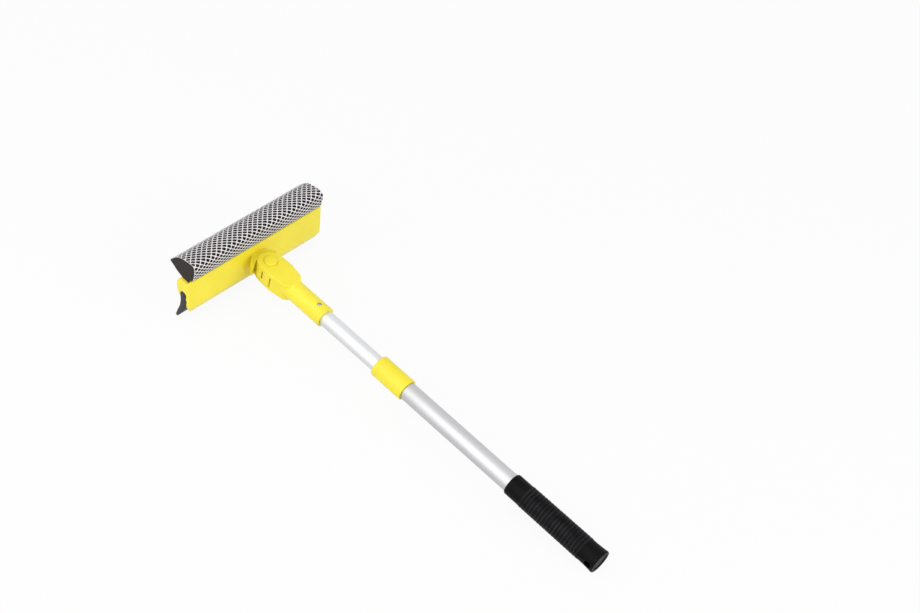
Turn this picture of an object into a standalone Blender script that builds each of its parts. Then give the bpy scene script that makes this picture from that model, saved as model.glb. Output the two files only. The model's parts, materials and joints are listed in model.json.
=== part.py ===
"""A telescopic window squeegee: a sponge and rubber head on a push-button swivel, with a twist-lock pole.

Every place is measured from the swivel pivot, where the pole's axis crosses the swivel's axis. X runs along
the head, Y along the pole towards the head and Z up, with the sponge above and the rubber blade below. Along
the pole, "back" is the distance from the pivot towards the grip. Lengths are in metres.
"""

import math

import bmesh
import bpy
from mathutils import Matrix, Vector

# Gaps and cutter overruns
FIT = 0.0003
OVERRUN = 0.002

# Head frame: one moulding, seen along the head as a section of Y and Z
HEAD_LENGTH = 0.2034
LIP_TOP_Z = 0.0185
LIP_BACK_Y = 0.0244
LIP_THICKNESS = 0.0020
LIP_ROUND = 0.0008
WALL_FOOT_Y = 0.0183
WALL_FOOT_Z = -0.0190
WALL_FOOT_ROUND = 0.0070
WALL_HEEL_Y = 0.0215
WALL_HEEL_Z = -0.0295
WALL_HEEL_ROUND = 0.0040
WALL_BOTTOM_Z = -0.0312
WALL_FRONT_Y = 0.0248
WALL_EDGE_ROUND = 0.0010
WALL_CORNER_ROUND = 0.0135
TRAY_Z = 0.0144
TRAY_FRONT_Y = 0.0385
TRAY_ROUND = 0.0015
NOSE_Y = 0.0434
NOSE_TOP_Z = 0.0096
NOSE_LOW_Z = 0.0005
NOSE_ROUND = 0.0024

# Channel in the frame that holds the blade's bead
CHANNEL_BACK_Y = 0.0264
CHANNEL_WIDTH = 0.0100
CHANNEL_ROOF_Z = -0.0018
CHANNEL_DEPTH = 0.0070
CHANNEL_ROUND = 0.0044
CHANNEL_LIP = 0.0004
CHANNEL_LIP_DROP = 0.0018
FRONT_LIP_THICKNESS = 0.0022

# Rubber blade below its bead
BLADE_TIP_Z = -0.0467
BLADE_FLICK = 0.0033
BLADE_TIP_WIDTH = 0.0030
BLADE_BEAD_ROUND = CHANNEL_ROUND - FIT
BLADE_FRONT_SHARES = [(0.00, 0.02), (-0.33, 0.17), (-0.36, 0.335), (-0.15, 0.51), (0.51, 0.74), (1.00, 1.00)]
BLADE_REAR_SHARES = [(0.55, 0.80), (0.15, 0.595), (-0.12, 0.44), (-0.22, 0.285), (-0.18, 0.13), (0.00, 0.02)]

# Sponge and the net over it
SPONGE_LENGTH = 0.1980
SPONGE_DEPTH = 0.0386
SPONGE_HEIGHT = 0.0302
SPONGE_BULGE = 0.0056
NET_THICKNESS = 0.0005
NET_UNDER_SHARE = 0.16
SPONGE_CROWN_SHARES = [
    (0.111, 0.185), (0.060, 0.225), (0.018, 0.330), (0.000, 0.507), (0.003, 0.705), (0.018, 0.871),
    (0.065, 0.977), (0.150, 1.000), (0.288, 0.980), (0.456, 0.930), (0.604, 0.868), (0.738, 0.765),
    (0.883, 0.560), (0.977, 0.394), (1.000, 0.338),
]
SPONGE_UNDER_SHARES = [(0.977, 0.308), (0.857, 0.235), (0.687, 0.116), (0.534, 0.050), (0.417, 0.007)]
SPONGE_SEAT_SHARES = [(0.360, 0.000), (0.200, 0.000)]

# Swivel: a round tongue on the head lies in the fork of the knuckle
KNUCKLE_ROUND = 0.0152
KNUCKLE_TOP_Z = 0.0122
KNUCKLE_BOTTOM_Z = -0.0120
KNUCKLE_EDGE_ROUND = 0.0014
KNUCKLE_HALF_WIDTH = 0.0158
KNUCKLE_WIDE_BACK = 0.0100
KNUCKLE_STRAIGHT_BACK = 0.0190
KNUCKLE_NARROW_HALF_WIDTH = 0.0130
KNUCKLE_NARROW_BACK = 0.0365
KNUCKLE_END_BACK = 0.0425
KNUCKLE_END_HALF_WIDTH = 0.0085
FORK_TOP_Z = 0.0046
FORK_BOTTOM_Z = -0.0088
FORK_OPENING_BACK = 0.0025
NECK_HALF_WIDTH = 0.0092
SWIVEL_LIMIT = math.radians(60)

# Cradle on the head round the knuckle's front, with a flat stop for its sides
CRADLE_RADIUS = 0.0207
CRADLE_TOP_Z = 0.0070
CRADLE_BOTTOM_Z = -0.0088
CRADLE_END_Y = 0.0085
CRADLE_WEB_HALF_WIDTH = 0.0120
CRADLE_WEB_START_Y = 0.0098

# Slots in the sides of the knuckle, which leave a springy tab between them
SLOT_WIDTH = 0.0019
SLOT_DEPTH = 0.0030
SLOT_TOP_Z = 0.0075
SLOT_BOTTOM_Z = -0.0050
REAR_SLOT_BACK = 0.0157

# Push button with its ring of teeth
BUTTON_RADIUS = 0.0076
BUTTON_TOP_Z = 0.0137
BUTTON_ROUND = 0.0009
BUTTON_TRAVEL = 0.0030
BUTTON_ROOF = 0.0042
BUTTON_BORE_RADIUS = 0.0060
BUTTON_STEM_RADIUS = 0.0029
BUTTON_STEM_BOTTOM_Z = 0.0000
DISH_RADIUS = 0.0093
DISH_DEPTH = 0.0009
TOOTH_COUNT = 24
TOOTH_TIP_RADIUS = 0.0096
TOOTH_HEIGHT = 0.0010
TOOTH_RING_TOP_Z = 0.0071
TOOTH_RING_THICKNESS = 0.0050
TOOTH_TIP_SHARE = 0.22
TOOTH_ROOT_SHARE = 0.50

# Pivot plug below the tongue, with the screw that draws the button against the spring
PLUG_RADIUS = 0.0077
PLUG_TOP_Z = -0.0040
PLUG_FLANGE_RADIUS = 0.0105
PLUG_FLANGE_THICKNESS = 0.0012
SPRING_WIRE = 0.0009
SPRING_RADIUS = 0.0045
SPRING_TURNS = 6
SPRING_POINTS_PER_TURN = 10
PIVOT_SCREW_RADIUS = 0.0015
PIVOT_SCREW_TIP_Z = 0.0065
PIVOT_SCREW_HEAD_RADIUS = 0.0029
PIVOT_SCREW_HEAD_HEIGHT = 0.0018
WASHER_THICKNESS = 0.0006
WASHER_RIM = 0.0007

# Socket for the inner tube and its screw
SOCKET_RADIUS = 0.0123
SOCKET_START_BACK = 0.0330
SOCKET_MOUTH_BACK = 0.0930
SOCKET_EDGE_ROUND = 0.0008
SOCKET_SCREW_BACK = 0.0810
SOCKET_SCREW_RADIUS = 0.0016
SOCKET_SCREW_HEAD_RADIUS = 0.0032
SOCKET_SCREW_HEAD_HEIGHT = 0.0018
SOCKET_SCREW_SEAT_DEPTH = 0.0010
SOCKET_SCREW_LENGTH = 0.0080
SCREW_CROSS_SHARE = 0.62
SCREW_CROSS_WIDTH = 0.0008
SCREW_CROSS_DEPTH = 0.0009

# Tubes
INNER_TUBE_RADIUS = 0.0095
OUTER_TUBE_RADIUS = 0.0110
TUBE_WALL = 0.0010
INNER_BORE = INNER_TUBE_RADIUS - TUBE_WALL
OUTER_BORE = OUTER_TUBE_RADIUS - TUBE_WALL
SOCKET_BORE = INNER_TUBE_RADIUS + FIT
INNER_TUBE_START_BACK = 0.0450
INNER_TUBE_END_BACK = 0.4620
TUBE_OVERHANG = 0.0320
OUTER_TUBE_END_BACK = INNER_TUBE_END_BACK + TUBE_OVERHANG

# Yellow collar at the mouth of the outer tube
COLLAR_START_BACK = 0.1795
COLLAR_END_BACK = 0.2240
COLLAR_RADIUS = 0.0131
COLLAR_LIP_LENGTH = 0.0070
COLLAR_EDGE_ROUND = 0.0015

# Twist lock inside the outer tube: an off-centre stub turns inside the cam
TWIST_LIMIT = math.radians(30)
CAM_PLUG_LENGTH = 0.0220
CAM_PLUG_FLANGE = 0.0025
STUB_RADIUS = 0.0040
STUB_OFFSET = 0.0007
STUB_CLEARANCE = 0.0001
STUB_PLAY = 2 * STUB_OFFSET * math.sin(TWIST_LIMIT / 2) + STUB_CLEARANCE
CAM_LENGTH = 0.0160
CAM_RADIUS = 0.0096
CAM_PIN_RADIUS = 0.0012
CAM_PIN_SETBACK = 0.0110
CAM_SCREW_RADIUS = 0.0015
CAM_SCREW_LENGTH = 0.0100
CAM_SCREW_HEAD_RADIUS = 0.0028
CAM_SCREW_HEAD_HEIGHT = 0.0018

# Plug that closes the outer tube inside the grip
END_PLUG_LENGTH = 0.0055
END_PLUG_FLANGE = 0.0012

# Grip
GRIP_LENGTH = 0.1280
GRIP_END_COVER = 0.0170
GRIP_END_BACK = OUTER_TUBE_END_BACK + GRIP_END_COVER
GRIP_START_BACK = GRIP_END_BACK - GRIP_LENGTH
GRIP_START_RADIUS = 0.0129
GRIP_BODY_RADIUS = 0.0133
GRIP_END_RADIUS = 0.0144
GRIP_FLARE_LENGTH = 0.0190
GRIP_EDGE_ROUND = 0.0006
GRIP_PLAIN_MOUTH = 0.0210
GRIP_RIB_START_BACK = GRIP_START_BACK + GRIP_PLAIN_MOUTH
GRIP_RIB_COUNT = 20
GRIP_RIB_PITCH = 0.0043
GRIP_RIB_HEIGHT = 0.0004
HANG_HOLE_SETBACK = 0.0075
HANG_HOLE_BACK = GRIP_END_BACK - HANG_HOLE_SETBACK
HANG_HOLE_RADIUS = 0.0034

# Fineness of round stretches
TURN_STEPS = 40
FINE_TURN_STEPS = 48
GRIP_TURN_STEPS = 28
SMALL_TURN_STEPS = 24
CORNER_STEPS = 4
CURVE_STEPS = 3
CIRCLE_POINTS = 48
SMOOTH_ANGLE = math.radians(35)
MERGE_DISTANCE = 0.00002

# Colours as linear red, green and blue, then roughness and metallic
YELLOW_PLASTIC = ((0.93, 0.78, 0.035), 0.38, 0.0)
BLACK_RUBBER = ((0.012, 0.012, 0.013), 0.62, 0.0)
BLADE_RUBBER = ((0.020, 0.020, 0.024), 0.50, 0.0)
DARK_FOAM = ((0.030, 0.027, 0.026), 0.95, 0.0)
WHITE_NET = ((0.72, 0.70, 0.70), 0.75, 0.0)
SATIN_ALUMINIUM = ((0.72, 0.73, 0.74), 0.32, 1.0)
ZINC_STEEL = ((0.55, 0.55, 0.53), 0.30, 1.0)
GREY_PLASTIC = ((0.16, 0.16, 0.17), 0.45, 0.0)

PARTS_NAME = "telescopic_squeegee"
CUTTERS_NAME = "cutters"


def clear_scene():
    for item in list(bpy.data.objects):
        bpy.data.objects.remove(item, do_unlink=True)


def new_collection(name):
    group = bpy.data.collections.new(name)
    bpy.context.scene.collection.children.link(group)
    return group


# Outlines

def rounded(corners):
    """A closed outline whose corners (a, b, radius) are rounded by arcs."""
    points = []
    for index, (a, b, radius) in enumerate(corners):
        here = Vector((a, b))
        before = Vector(corners[index - 1][:2]) - here
        after = Vector(corners[(index + 1) % len(corners)][:2]) - here
        if radius == 0:
            points.append((a, b))
            continue
        half_angle = before.angle(after) / 2
        before.normalize()
        after.normalize()
        centre = here + (before + after).normalized() * radius / math.sin(half_angle)
        start = here + before * radius / math.tan(half_angle) - centre
        end = here + after * radius / math.tan(half_angle) - centre
        swing = start.angle_signed(end)
        for step in range(CORNER_STEPS + 1):
            turned_by = Matrix.Rotation(-swing * step / CORNER_STEPS, 2)
            points.append(tuple(centre + turned_by @ start))
    return points


def smooth_through(points, steps=CURVE_STEPS):
    """A smooth open line through the points, with extra points between them."""
    ends = [points[0]] + list(points) + [points[-1]]
    line = []
    for index in range(1, len(ends) - 2):
        before, start, end, after = (Vector(ends[index + k]) for k in (-1, 0, 1, 2))
        slope = end - before
        bend = 2 * before - 5 * start + 4 * end - after
        twist = 3 * start - before - 3 * end + after
        for step in range(steps):
            share = step / steps
            line.append(tuple((2 * start + slope * share + bend * share ** 2 + twist * share ** 3) / 2))
    line.append(tuple(points[-1]))
    return line


def offset_line(points, distance):
    """The open line moved sideways, to its left as it runs."""
    moved = []
    for index, point in enumerate(points):
        before = Vector(points[max(index - 1, 0)])
        after = Vector(points[min(index + 1, len(points) - 1)])
        along = (after - before).normalized()
        moved.append(tuple(Vector(point) + Vector((-along.y, along.x)) * distance))
    return moved


def circle_outline(radius, centre=(0, 0), count=CIRCLE_POINTS):
    angles = [2 * math.pi * step / count for step in range(count)]
    return [(centre[0] + radius * math.cos(a), centre[1] + radius * math.sin(a)) for a in angles]


def box_outline(low, high):
    return [(low[0], low[1]), (high[0], low[1]), (high[0], high[1]), (low[0], high[1])]


def toothed_outline(extra=0):
    """The button's ring of teeth, grown by extra all round where it is cut out of another piece."""
    tip = TOOTH_TIP_RADIUS + extra
    root = TOOTH_TIP_RADIUS - TOOTH_HEIGHT + extra
    pitch = 2 * math.pi / TOOTH_COUNT
    spread = extra / root
    points = []
    for tooth in range(TOOTH_COUNT):
        middle = pitch * tooth
        tip_half = pitch * TOOTH_TIP_SHARE / 2 + spread
        root_half = pitch * TOOTH_ROOT_SHARE / 2 + spread
        for radius, angle in ((root, -root_half), (tip, -tip_half), (tip, tip_half), (root, root_half)):
            points.append((radius * math.cos(middle + angle), radius * math.sin(middle + angle)))
    return points


# Solids

def material(name, finish):
    colour, roughness, metallic = finish
    made = bpy.data.materials.new(name)
    made.use_nodes = True
    shader = made.node_tree.nodes["Principled BSDF"]
    shader.inputs["Base Color"].default_value = (*colour, 1)
    shader.inputs["Roughness"].default_value = roughness
    shader.inputs["Metallic"].default_value = metallic
    made.diffuse_color = (*colour, 1)
    return made


def as_part(item, finish):
    """Makes a solid a sub-part: it gets its own material and stands at the pivot."""
    PARTS.objects.link(item)
    item.data.materials.clear()
    item.data.materials.append(material(item.name + "_finish", finish))
    item.matrix_world = Matrix.Translation(PIVOT) @ item.matrix_world
    return item


def as_cutter(item):
    CUTTERS.objects.link(item)
    item.hide_render = True
    item.display_type = "WIRE"
    item.matrix_world = Matrix.Translation(PIVOT) @ item.matrix_world
    return item


def prism(name, outline, low, high, frame=Matrix()):
    """An outline drawn in the frame's XY plane and carried from low to high along its Z."""
    curve = bpy.data.curves.new(name + "_outline", "CURVE")
    curve.dimensions = "2D"
    curve.fill_mode = "BOTH"
    curve.extrude = (high - low) / 2
    spline = curve.splines.new("POLY")
    spline.points.add(len(outline) - 1)
    spline.points.foreach_set("co", [value for a, b in outline for value in (a, b, 0, 1)])
    spline.use_cyclic_u = True
    drawn = bpy.data.objects.new(name + "_outline", curve)
    bpy.context.scene.collection.objects.link(drawn)
    drawn.matrix_world = frame @ Matrix.Translation((0, 0, (high + low) / 2))
    bpy.context.view_layer.update()
    mesh = bpy.data.meshes.new_from_object(drawn.evaluated_get(bpy.context.evaluated_depsgraph_get()))
    weld = bmesh.new()
    weld.from_mesh(mesh)
    bmesh.ops.remove_doubles(weld, verts=weld.verts, dist=MERGE_DISTANCE)
    weld.to_mesh(mesh)
    weld.free()
    solid = bpy.data.objects.new(name, mesh)
    solid.matrix_world = drawn.matrix_world.copy()
    bpy.data.objects.remove(drawn, do_unlink=True)
    return solid


def turned(name, profile, steps=TURN_STEPS, frame=Matrix(), closed=False):
    """A profile of (radius, height), listed down its outer side, turned about the frame's Z."""
    mesh = bpy.data.meshes.new(name)
    edges = [(index, index + 1) for index in range(len(profile) - 1)]
    if closed:
        edges.append((len(profile) - 1, 0))
    mesh.from_pydata([(radius, 0, height) for radius, height in profile], edges, [])
    solid = bpy.data.objects.new(name, mesh)
    solid.matrix_world = frame
    screw = solid.modifiers.new("turn", "SCREW")
    screw.steps = steps
    screw.render_steps = steps
    screw.use_merge_vertices = True
    screw.merge_threshold = MERGE_DISTANCE
    screw.use_smooth_shade = True
    return solid


def tube_profile(outer, inner, start, end, edge=0):
    """The wall of a tube from start to end along the pole, with its outer rims eased by edge."""
    return [
        (outer - edge, -start), (outer, -start - edge), (outer, -end + edge), (outer - edge, -end),
        (inner, -end), (inner, -start),
    ]


def rod_profile(radius, top, bottom):
    return [(0, top), (radius, top), (radius, bottom), (0, bottom)]


def combine(item, other, operation, solver="EXACT"):
    change = item.modifiers.new(operation.lower(), "BOOLEAN")
    change.operation = operation
    change.object = other
    change.solver = solver


def cut(item, *cutters):
    for cutter in cutters:
        combine(item, as_cutter(cutter), "DIFFERENCE")


def join(item, *others):
    for other in others:
        combine(item, as_cutter(other), "UNION")


def ease_edges(item, width, segments=2, angle=SMOOTH_ANGLE):
    bevel = item.modifiers.new("eased_edges", "BEVEL")
    bevel.width = width
    bevel.segments = segments
    bevel.limit_method = "ANGLE"
    bevel.angle_limit = angle


def smooth(item):
    """Round faces shaded smooth, sharp edges kept."""
    for face in item.data.polygons:
        face.use_smooth = True
    item.data.set_sharp_from_angle(angle=SMOOTH_ANGLE)


# Frames: sections of the head run along X, pieces on the pole turn about Y
ACROSS_HEAD = Matrix(((0, 0, 1, 0), (1, 0, 0, 0), (0, 1, 0, 0), (0, 0, 0, 1)))
ALONG_POLE = Matrix.Rotation(-math.pi / 2, 4, "X")
ALONG_STUB = ALONG_POLE @ Matrix.Translation((0, -STUB_OFFSET, 0))
ALONG_STUB @= Matrix.Rotation(math.pi / SMALL_TURN_STEPS, 4, "Z")
FACING_BACK = Matrix(((1, 0, 0, 0), (0, 0, -1, 0), (0, 1, 0, 0), (0, 0, 0, 1)))


# Outlines of the head's pieces

def channel_front_y():
    return CHANNEL_BACK_Y + CHANNEL_WIDTH


def channel_lip_z():
    return CHANNEL_ROOF_Z - CHANNEL_DEPTH - CHANNEL_LIP_DROP


def head_outline():
    lip_front = LIP_BACK_Y + LIP_THICKNESS
    back, front = CHANNEL_BACK_Y, channel_front_y()
    shoulder_z = CHANNEL_ROOF_Z - CHANNEL_DEPTH
    lip_z = channel_lip_z()
    return rounded([
        (LIP_BACK_Y, LIP_TOP_Z, LIP_ROUND),
        (WALL_FOOT_Y, WALL_FOOT_Z, WALL_FOOT_ROUND),
        (WALL_HEEL_Y, WALL_HEEL_Z, WALL_HEEL_ROUND),
        (WALL_FRONT_Y, WALL_BOTTOM_Z, WALL_EDGE_ROUND),
        (WALL_FRONT_Y, lip_z - CHANNEL_LIP_DROP, CHANNEL_LIP),
        (back + CHANNEL_LIP, lip_z, 0),
        (back, shoulder_z, 0),
        (back, CHANNEL_ROOF_Z, CHANNEL_ROUND),
        (front, CHANNEL_ROOF_Z, CHANNEL_ROUND),
        (front, shoulder_z, 0),
        (front - CHANNEL_LIP, lip_z, 0),
        (front - CHANNEL_LIP + FRONT_LIP_THICKNESS, lip_z, LIP_ROUND),
        (NOSE_Y, NOSE_LOW_Z, NOSE_ROUND),
        (NOSE_Y, NOSE_TOP_Z, NOSE_ROUND),
        (TRAY_FRONT_Y, TRAY_Z, TRAY_ROUND),
        (lip_front, TRAY_Z, 0),
        (lip_front, LIP_TOP_Z, LIP_ROUND),
    ])


def blade_outline():
    back, front = CHANNEL_BACK_Y + FIT, channel_front_y() - FIT
    top = CHANNEL_ROOF_Z - FIT
    shoulder_z = CHANNEL_ROOF_Z - CHANNEL_DEPTH + FIT
    neck_back, neck_front = back + CHANNEL_LIP, front - CHANNEL_LIP
    neck_z = channel_lip_z()
    drop = BLADE_TIP_Z - neck_z
    flick = BLADE_FLICK
    tip_back = neck_front + flick - BLADE_TIP_WIDTH
    front_side = [(neck_front + y * flick, neck_z + z * drop) for y, z in BLADE_FRONT_SHARES]
    lean = tip_back - neck_back
    rear_side = [(tip_back, BLADE_TIP_Z)]
    rear_side += [(neck_back + y * lean, neck_z + z * drop) for y, z in BLADE_REAR_SHARES]
    bead = rounded([
        (neck_back, neck_z, 0), (back, shoulder_z, 0), (back, top, BLADE_BEAD_ROUND),
        (front, top, BLADE_BEAD_ROUND), (front, shoulder_z, 0), (neck_front, neck_z, 0),
    ])
    return bead + smooth_through(front_side) + smooth_through(rear_side)


def sponge_lines():
    """The sponge's outer line in two stretches: under the net from foot to tip, and bare from there on."""
    foot_y = LIP_BACK_Y + LIP_THICKNESS + NET_THICKNESS + 2 * FIT
    back_y = foot_y - SPONGE_BULGE
    seat_z = TRAY_Z + FIT

    def place(shares):
        return [(back_y + y * SPONGE_DEPTH, seat_z + z * SPONGE_HEIGHT) for y, z in shares]

    crown = [(foot_y, seat_z), (foot_y, LIP_TOP_Z)] + place(SPONGE_CROWN_SHARES)
    under = place(SPONGE_CROWN_SHARES[-1:] + SPONGE_UNDER_SHARES + SPONGE_SEAT_SHARES[:1])
    under_line = smooth_through(under)
    wrapped = round(NET_UNDER_SHARE * len(under_line))
    covered = smooth_through(crown) + under_line[1:wrapped + 1]
    bare = under_line[wrapped + 1:] + place(SPONGE_SEAT_SHARES[1:])
    return covered, bare


def sponge_outline():
    covered, bare = sponge_lines()
    return covered + bare


def net_outline():
    covered, _ = sponge_lines()
    return offset_line(covered, FIT) + offset_line(covered, FIT + NET_THICKNESS)[::-1]


def extreme(outline, axis, pick):
    return pick(point[axis] for point in outline)


def pivot_place():
    """The pivot's place when the part's box stands centred on the origin."""
    reach = extreme(net_outline(), 0, max)
    drop = extreme(blade_outline(), 1, min)
    return Vector((0, (GRIP_END_BACK - reach) / 2, -drop))


# Head

def wall_middle_y():
    return (WALL_FRONT_Y + WALL_FOOT_Y) / 2


def stop_outline(side):
    """The strip that the knuckle's flat side sweeps to at one limit of the swivel."""
    half = KNUCKLE_HALF_WIDTH + FIT
    strip = box_outline((-half, -KNUCKLE_END_BACK), (half, 0))
    turn = Matrix.Rotation(side * SWIVEL_LIMIT, 2)
    return [tuple(turn @ Vector(point)) for point in strip]


def cradle():
    """The half ring on the head's back that the knuckle's front turns in."""
    ring = prism("cradle_body", circle_outline(CRADLE_RADIUS), CRADLE_BOTTOM_Z, CRADLE_TOP_Z)
    foot, start = CRADLE_WEB_HALF_WIDTH, CRADLE_WEB_START_Y
    start_half = math.sqrt(CRADLE_RADIUS ** 2 - start ** 2)
    web = [(-start_half, start), (start_half, start), (foot, wall_middle_y()), (-foot, wall_middle_y())]
    join(ring, prism("cradle_web", web, CRADLE_BOTTOM_Z, CRADLE_TOP_Z))
    low, high = CRADLE_BOTTOM_Z - OVERRUN, CRADLE_TOP_Z + OVERRUN
    hollow = circle_outline(KNUCKLE_ROUND + FIT)
    wide = CRADLE_RADIUS + OVERRUN
    cut(
        ring,
        prism("cradle_hollow_cutter", hollow, low, high),
        prism("cradle_end_cutter", box_outline((-wide, -wide), (wide, CRADLE_END_Y)), low, high),
        prism("left_stop_cutter", stop_outline(-1), low, high),
        prism("right_stop_cutter", stop_outline(1), low, high),
    )
    return ring


def head_frame():
    half = HEAD_LENGTH / 2
    frame = prism("head_frame", head_outline(), -half, half, ACROSS_HEAD)
    face = rounded([
        (-half, WALL_BOTTOM_Z, WALL_CORNER_ROUND), (half, WALL_BOTTOM_Z, WALL_CORNER_ROUND),
        (half, LIP_TOP_Z + OVERRUN, 0), (-half, LIP_TOP_Z + OVERRUN, 0),
    ])
    keep = prism("head_face_shape", face, -NOSE_Y - OVERRUN, OVERRUN, FACING_BACK)
    combine(frame, as_cutter(keep), "INTERSECT")
    tongue_top, tongue_bottom = FORK_TOP_Z - FIT, FORK_BOTTOM_Z + FIT
    neck = box_outline((-NECK_HALF_WIDTH, 0), (NECK_HALF_WIDTH, wall_middle_y()))
    join(
        frame,
        cradle(),
        prism("tongue_body", circle_outline(KNUCKLE_ROUND - FIT), tongue_bottom, tongue_top),
        prism("tongue_neck", neck, tongue_bottom, tongue_top),
    )
    tooth_floor = TOOTH_RING_TOP_Z - TOOTH_RING_THICKNESS - BUTTON_TRAVEL - 2 * FIT
    bore = circle_outline(PLUG_RADIUS + FIT)
    cut(
        frame,
        prism("tongue_teeth_cutter", toothed_outline(FIT), tooth_floor, FORK_TOP_Z + OVERRUN),
        prism("tongue_bore_cutter", bore, FORK_BOTTOM_Z - OVERRUN, tooth_floor + OVERRUN),
    )
    smooth(frame)
    return as_part(frame, YELLOW_PLASTIC)


def rubber_blade():
    half = HEAD_LENGTH / 2
    return as_part(prism("rubber_blade", blade_outline(), -half, half, ACROSS_HEAD), BLADE_RUBBER)


def sponge_core():
    half = SPONGE_LENGTH / 2
    return as_part(prism("sponge_core", sponge_outline(), -half, half, ACROSS_HEAD), DARK_FOAM)


def net_cover():
    half = SPONGE_LENGTH / 2
    return as_part(prism("net_cover", net_outline(), -half, half, ACROSS_HEAD), WHITE_NET)


# Swivel knuckle and what it holds

def knuckle_outline():
    """Seen from above: round at the head, widest at the slots, then narrowing to the socket."""
    around = circle_outline(KNUCKLE_ROUND)
    front = around[:CIRCLE_POINTS // 2 + 1]
    left = [
        (-KNUCKLE_HALF_WIDTH, -KNUCKLE_WIDE_BACK), (-KNUCKLE_HALF_WIDTH, -KNUCKLE_STRAIGHT_BACK),
        (-KNUCKLE_NARROW_HALF_WIDTH, -KNUCKLE_NARROW_BACK), (-KNUCKLE_END_HALF_WIDTH, -KNUCKLE_END_BACK),
    ]
    right = [(-x, y) for x, y in reversed(left)]
    return front + left + right


def side_slots():
    """The cutters of the four side slots."""
    cutters = []
    for side in (-1, 1):
        inner = side * (KNUCKLE_HALF_WIDTH - SLOT_DEPTH)
        outer = side * (KNUCKLE_HALF_WIDTH + OVERRUN)
        for name, back in (("front", FORK_OPENING_BACK), ("rear", REAR_SLOT_BACK)):
            low = (min(inner, outer), -back - SLOT_WIDTH)
            high = (max(inner, outer), -back + (OVERRUN if name == "front" else 0))
            label = "left" if side < 0 else "right"
            box = box_outline(low, high)
            cutters.append(prism(f"{label}_{name}_slot_cutter", box, SLOT_BOTTOM_Z, SLOT_TOP_Z))
    return cutters


def knuckle_cutters():
    wide = KNUCKLE_HALF_WIDTH + OVERRUN
    opening = box_outline((-wide, -FORK_OPENING_BACK), (wide, wide))
    dish_z = KNUCKLE_TOP_Z - DISH_DEPTH
    hole = BUTTON_RADIUS + FIT
    dish_slope = (DISH_RADIUS - hole) / DISH_DEPTH
    dish = [
        (0, KNUCKLE_TOP_Z + OVERRUN), (DISH_RADIUS + dish_slope * OVERRUN, KNUCKLE_TOP_Z + OVERRUN),
        (hole, dish_z), (0, dish_z),
    ]
    pocket_top = TOOTH_RING_TOP_Z + FIT
    bore = rod_profile(SOCKET_BORE, -INNER_TUBE_START_BACK + FIT, -SOCKET_MOUTH_BACK - OVERRUN)
    screw_at = Matrix.Translation((0, -SOCKET_SCREW_BACK, 0))
    seat_z = SOCKET_RADIUS - SOCKET_SCREW_SEAT_DEPTH
    seat_radius, screw_hole = SOCKET_SCREW_HEAD_RADIUS + FIT, SOCKET_SCREW_RADIUS + FIT
    seat = [
        (0, SOCKET_RADIUS + OVERRUN), (seat_radius, SOCKET_RADIUS + OVERRUN), (seat_radius, seat_z),
        (screw_hole, seat_z), (screw_hole, 0), (0, 0),
    ]
    return [
        prism("fork_opening_cutter", opening, FORK_BOTTOM_Z, FORK_TOP_Z),
        prism("fork_round_cutter", circle_outline(KNUCKLE_ROUND), FORK_BOTTOM_Z, FORK_TOP_Z),
        prism("knuckle_teeth_cutter", toothed_outline(FIT), FORK_TOP_Z - OVERRUN, pocket_top),
        turned("button_hole_cutter", rod_profile(hole, KNUCKLE_TOP_Z + OVERRUN, FORK_TOP_Z), FINE_TURN_STEPS),
        turned("button_dish_cutter", dish, FINE_TURN_STEPS),
        turned("plug_hole_cutter", rod_profile(PLUG_RADIUS + FIT, FORK_TOP_Z - OVERRUN,
                                               KNUCKLE_BOTTOM_Z - OVERRUN), TURN_STEPS),
        turned("socket_bore_cutter", bore, FINE_TURN_STEPS, ALONG_POLE),
        turned("screw_seat_cutter", seat, SMALL_TURN_STEPS, screw_at),
    ] + side_slots()


def swivel_knuckle():
    knuckle = prism("swivel_knuckle", knuckle_outline(), KNUCKLE_BOTTOM_Z, KNUCKLE_TOP_Z)
    ease_edges(knuckle, KNUCKLE_EDGE_ROUND)
    edge = SOCKET_EDGE_ROUND
    socket = [
        (0, -SOCKET_START_BACK), (SOCKET_RADIUS, -SOCKET_START_BACK),
        (SOCKET_RADIUS, -SOCKET_MOUTH_BACK + edge), (SOCKET_RADIUS - edge, -SOCKET_MOUTH_BACK),
        (0, -SOCKET_MOUTH_BACK),
    ]
    join(knuckle, turned("socket_body", socket, FINE_TURN_STEPS, ALONG_POLE))
    cut(knuckle, *knuckle_cutters())
    smooth(knuckle)
    return as_part(knuckle, YELLOW_PLASTIC)


def lock_button():
    ring_bottom = TOOTH_RING_TOP_Z - TOOTH_RING_THICKNESS
    button = prism("lock_button", toothed_outline(), ring_bottom, TOOTH_RING_TOP_Z)
    edge = BUTTON_ROUND
    head = [
        (0, BUTTON_TOP_Z), (BUTTON_RADIUS - edge, BUTTON_TOP_Z), (BUTTON_RADIUS, BUTTON_TOP_Z - edge),
        (BUTTON_RADIUS, TOOTH_RING_TOP_Z - OVERRUN), (0, TOOTH_RING_TOP_Z - OVERRUN),
    ]
    join(button, turned("button_head", head, TURN_STEPS))
    roof = BUTTON_TOP_Z - BUTTON_ROOF
    hollow = rod_profile(BUTTON_BORE_RADIUS, roof, ring_bottom - OVERRUN)
    cut(button, turned("button_hollow_cutter", hollow, SMALL_TURN_STEPS))
    stem = rod_profile(BUTTON_STEM_RADIUS, roof + OVERRUN, BUTTON_STEM_BOTTOM_Z)
    join(button, turned("button_stem", stem, SMALL_TURN_STEPS))
    hole = rod_profile(PIVOT_SCREW_RADIUS + FIT, PIVOT_SCREW_TIP_Z + FIT, BUTTON_STEM_BOTTOM_Z - OVERRUN)
    cut(button, turned("button_screw_hole_cutter", hole, SMALL_TURN_STEPS))
    smooth(button)
    return as_part(button, YELLOW_PLASTIC)


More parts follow.
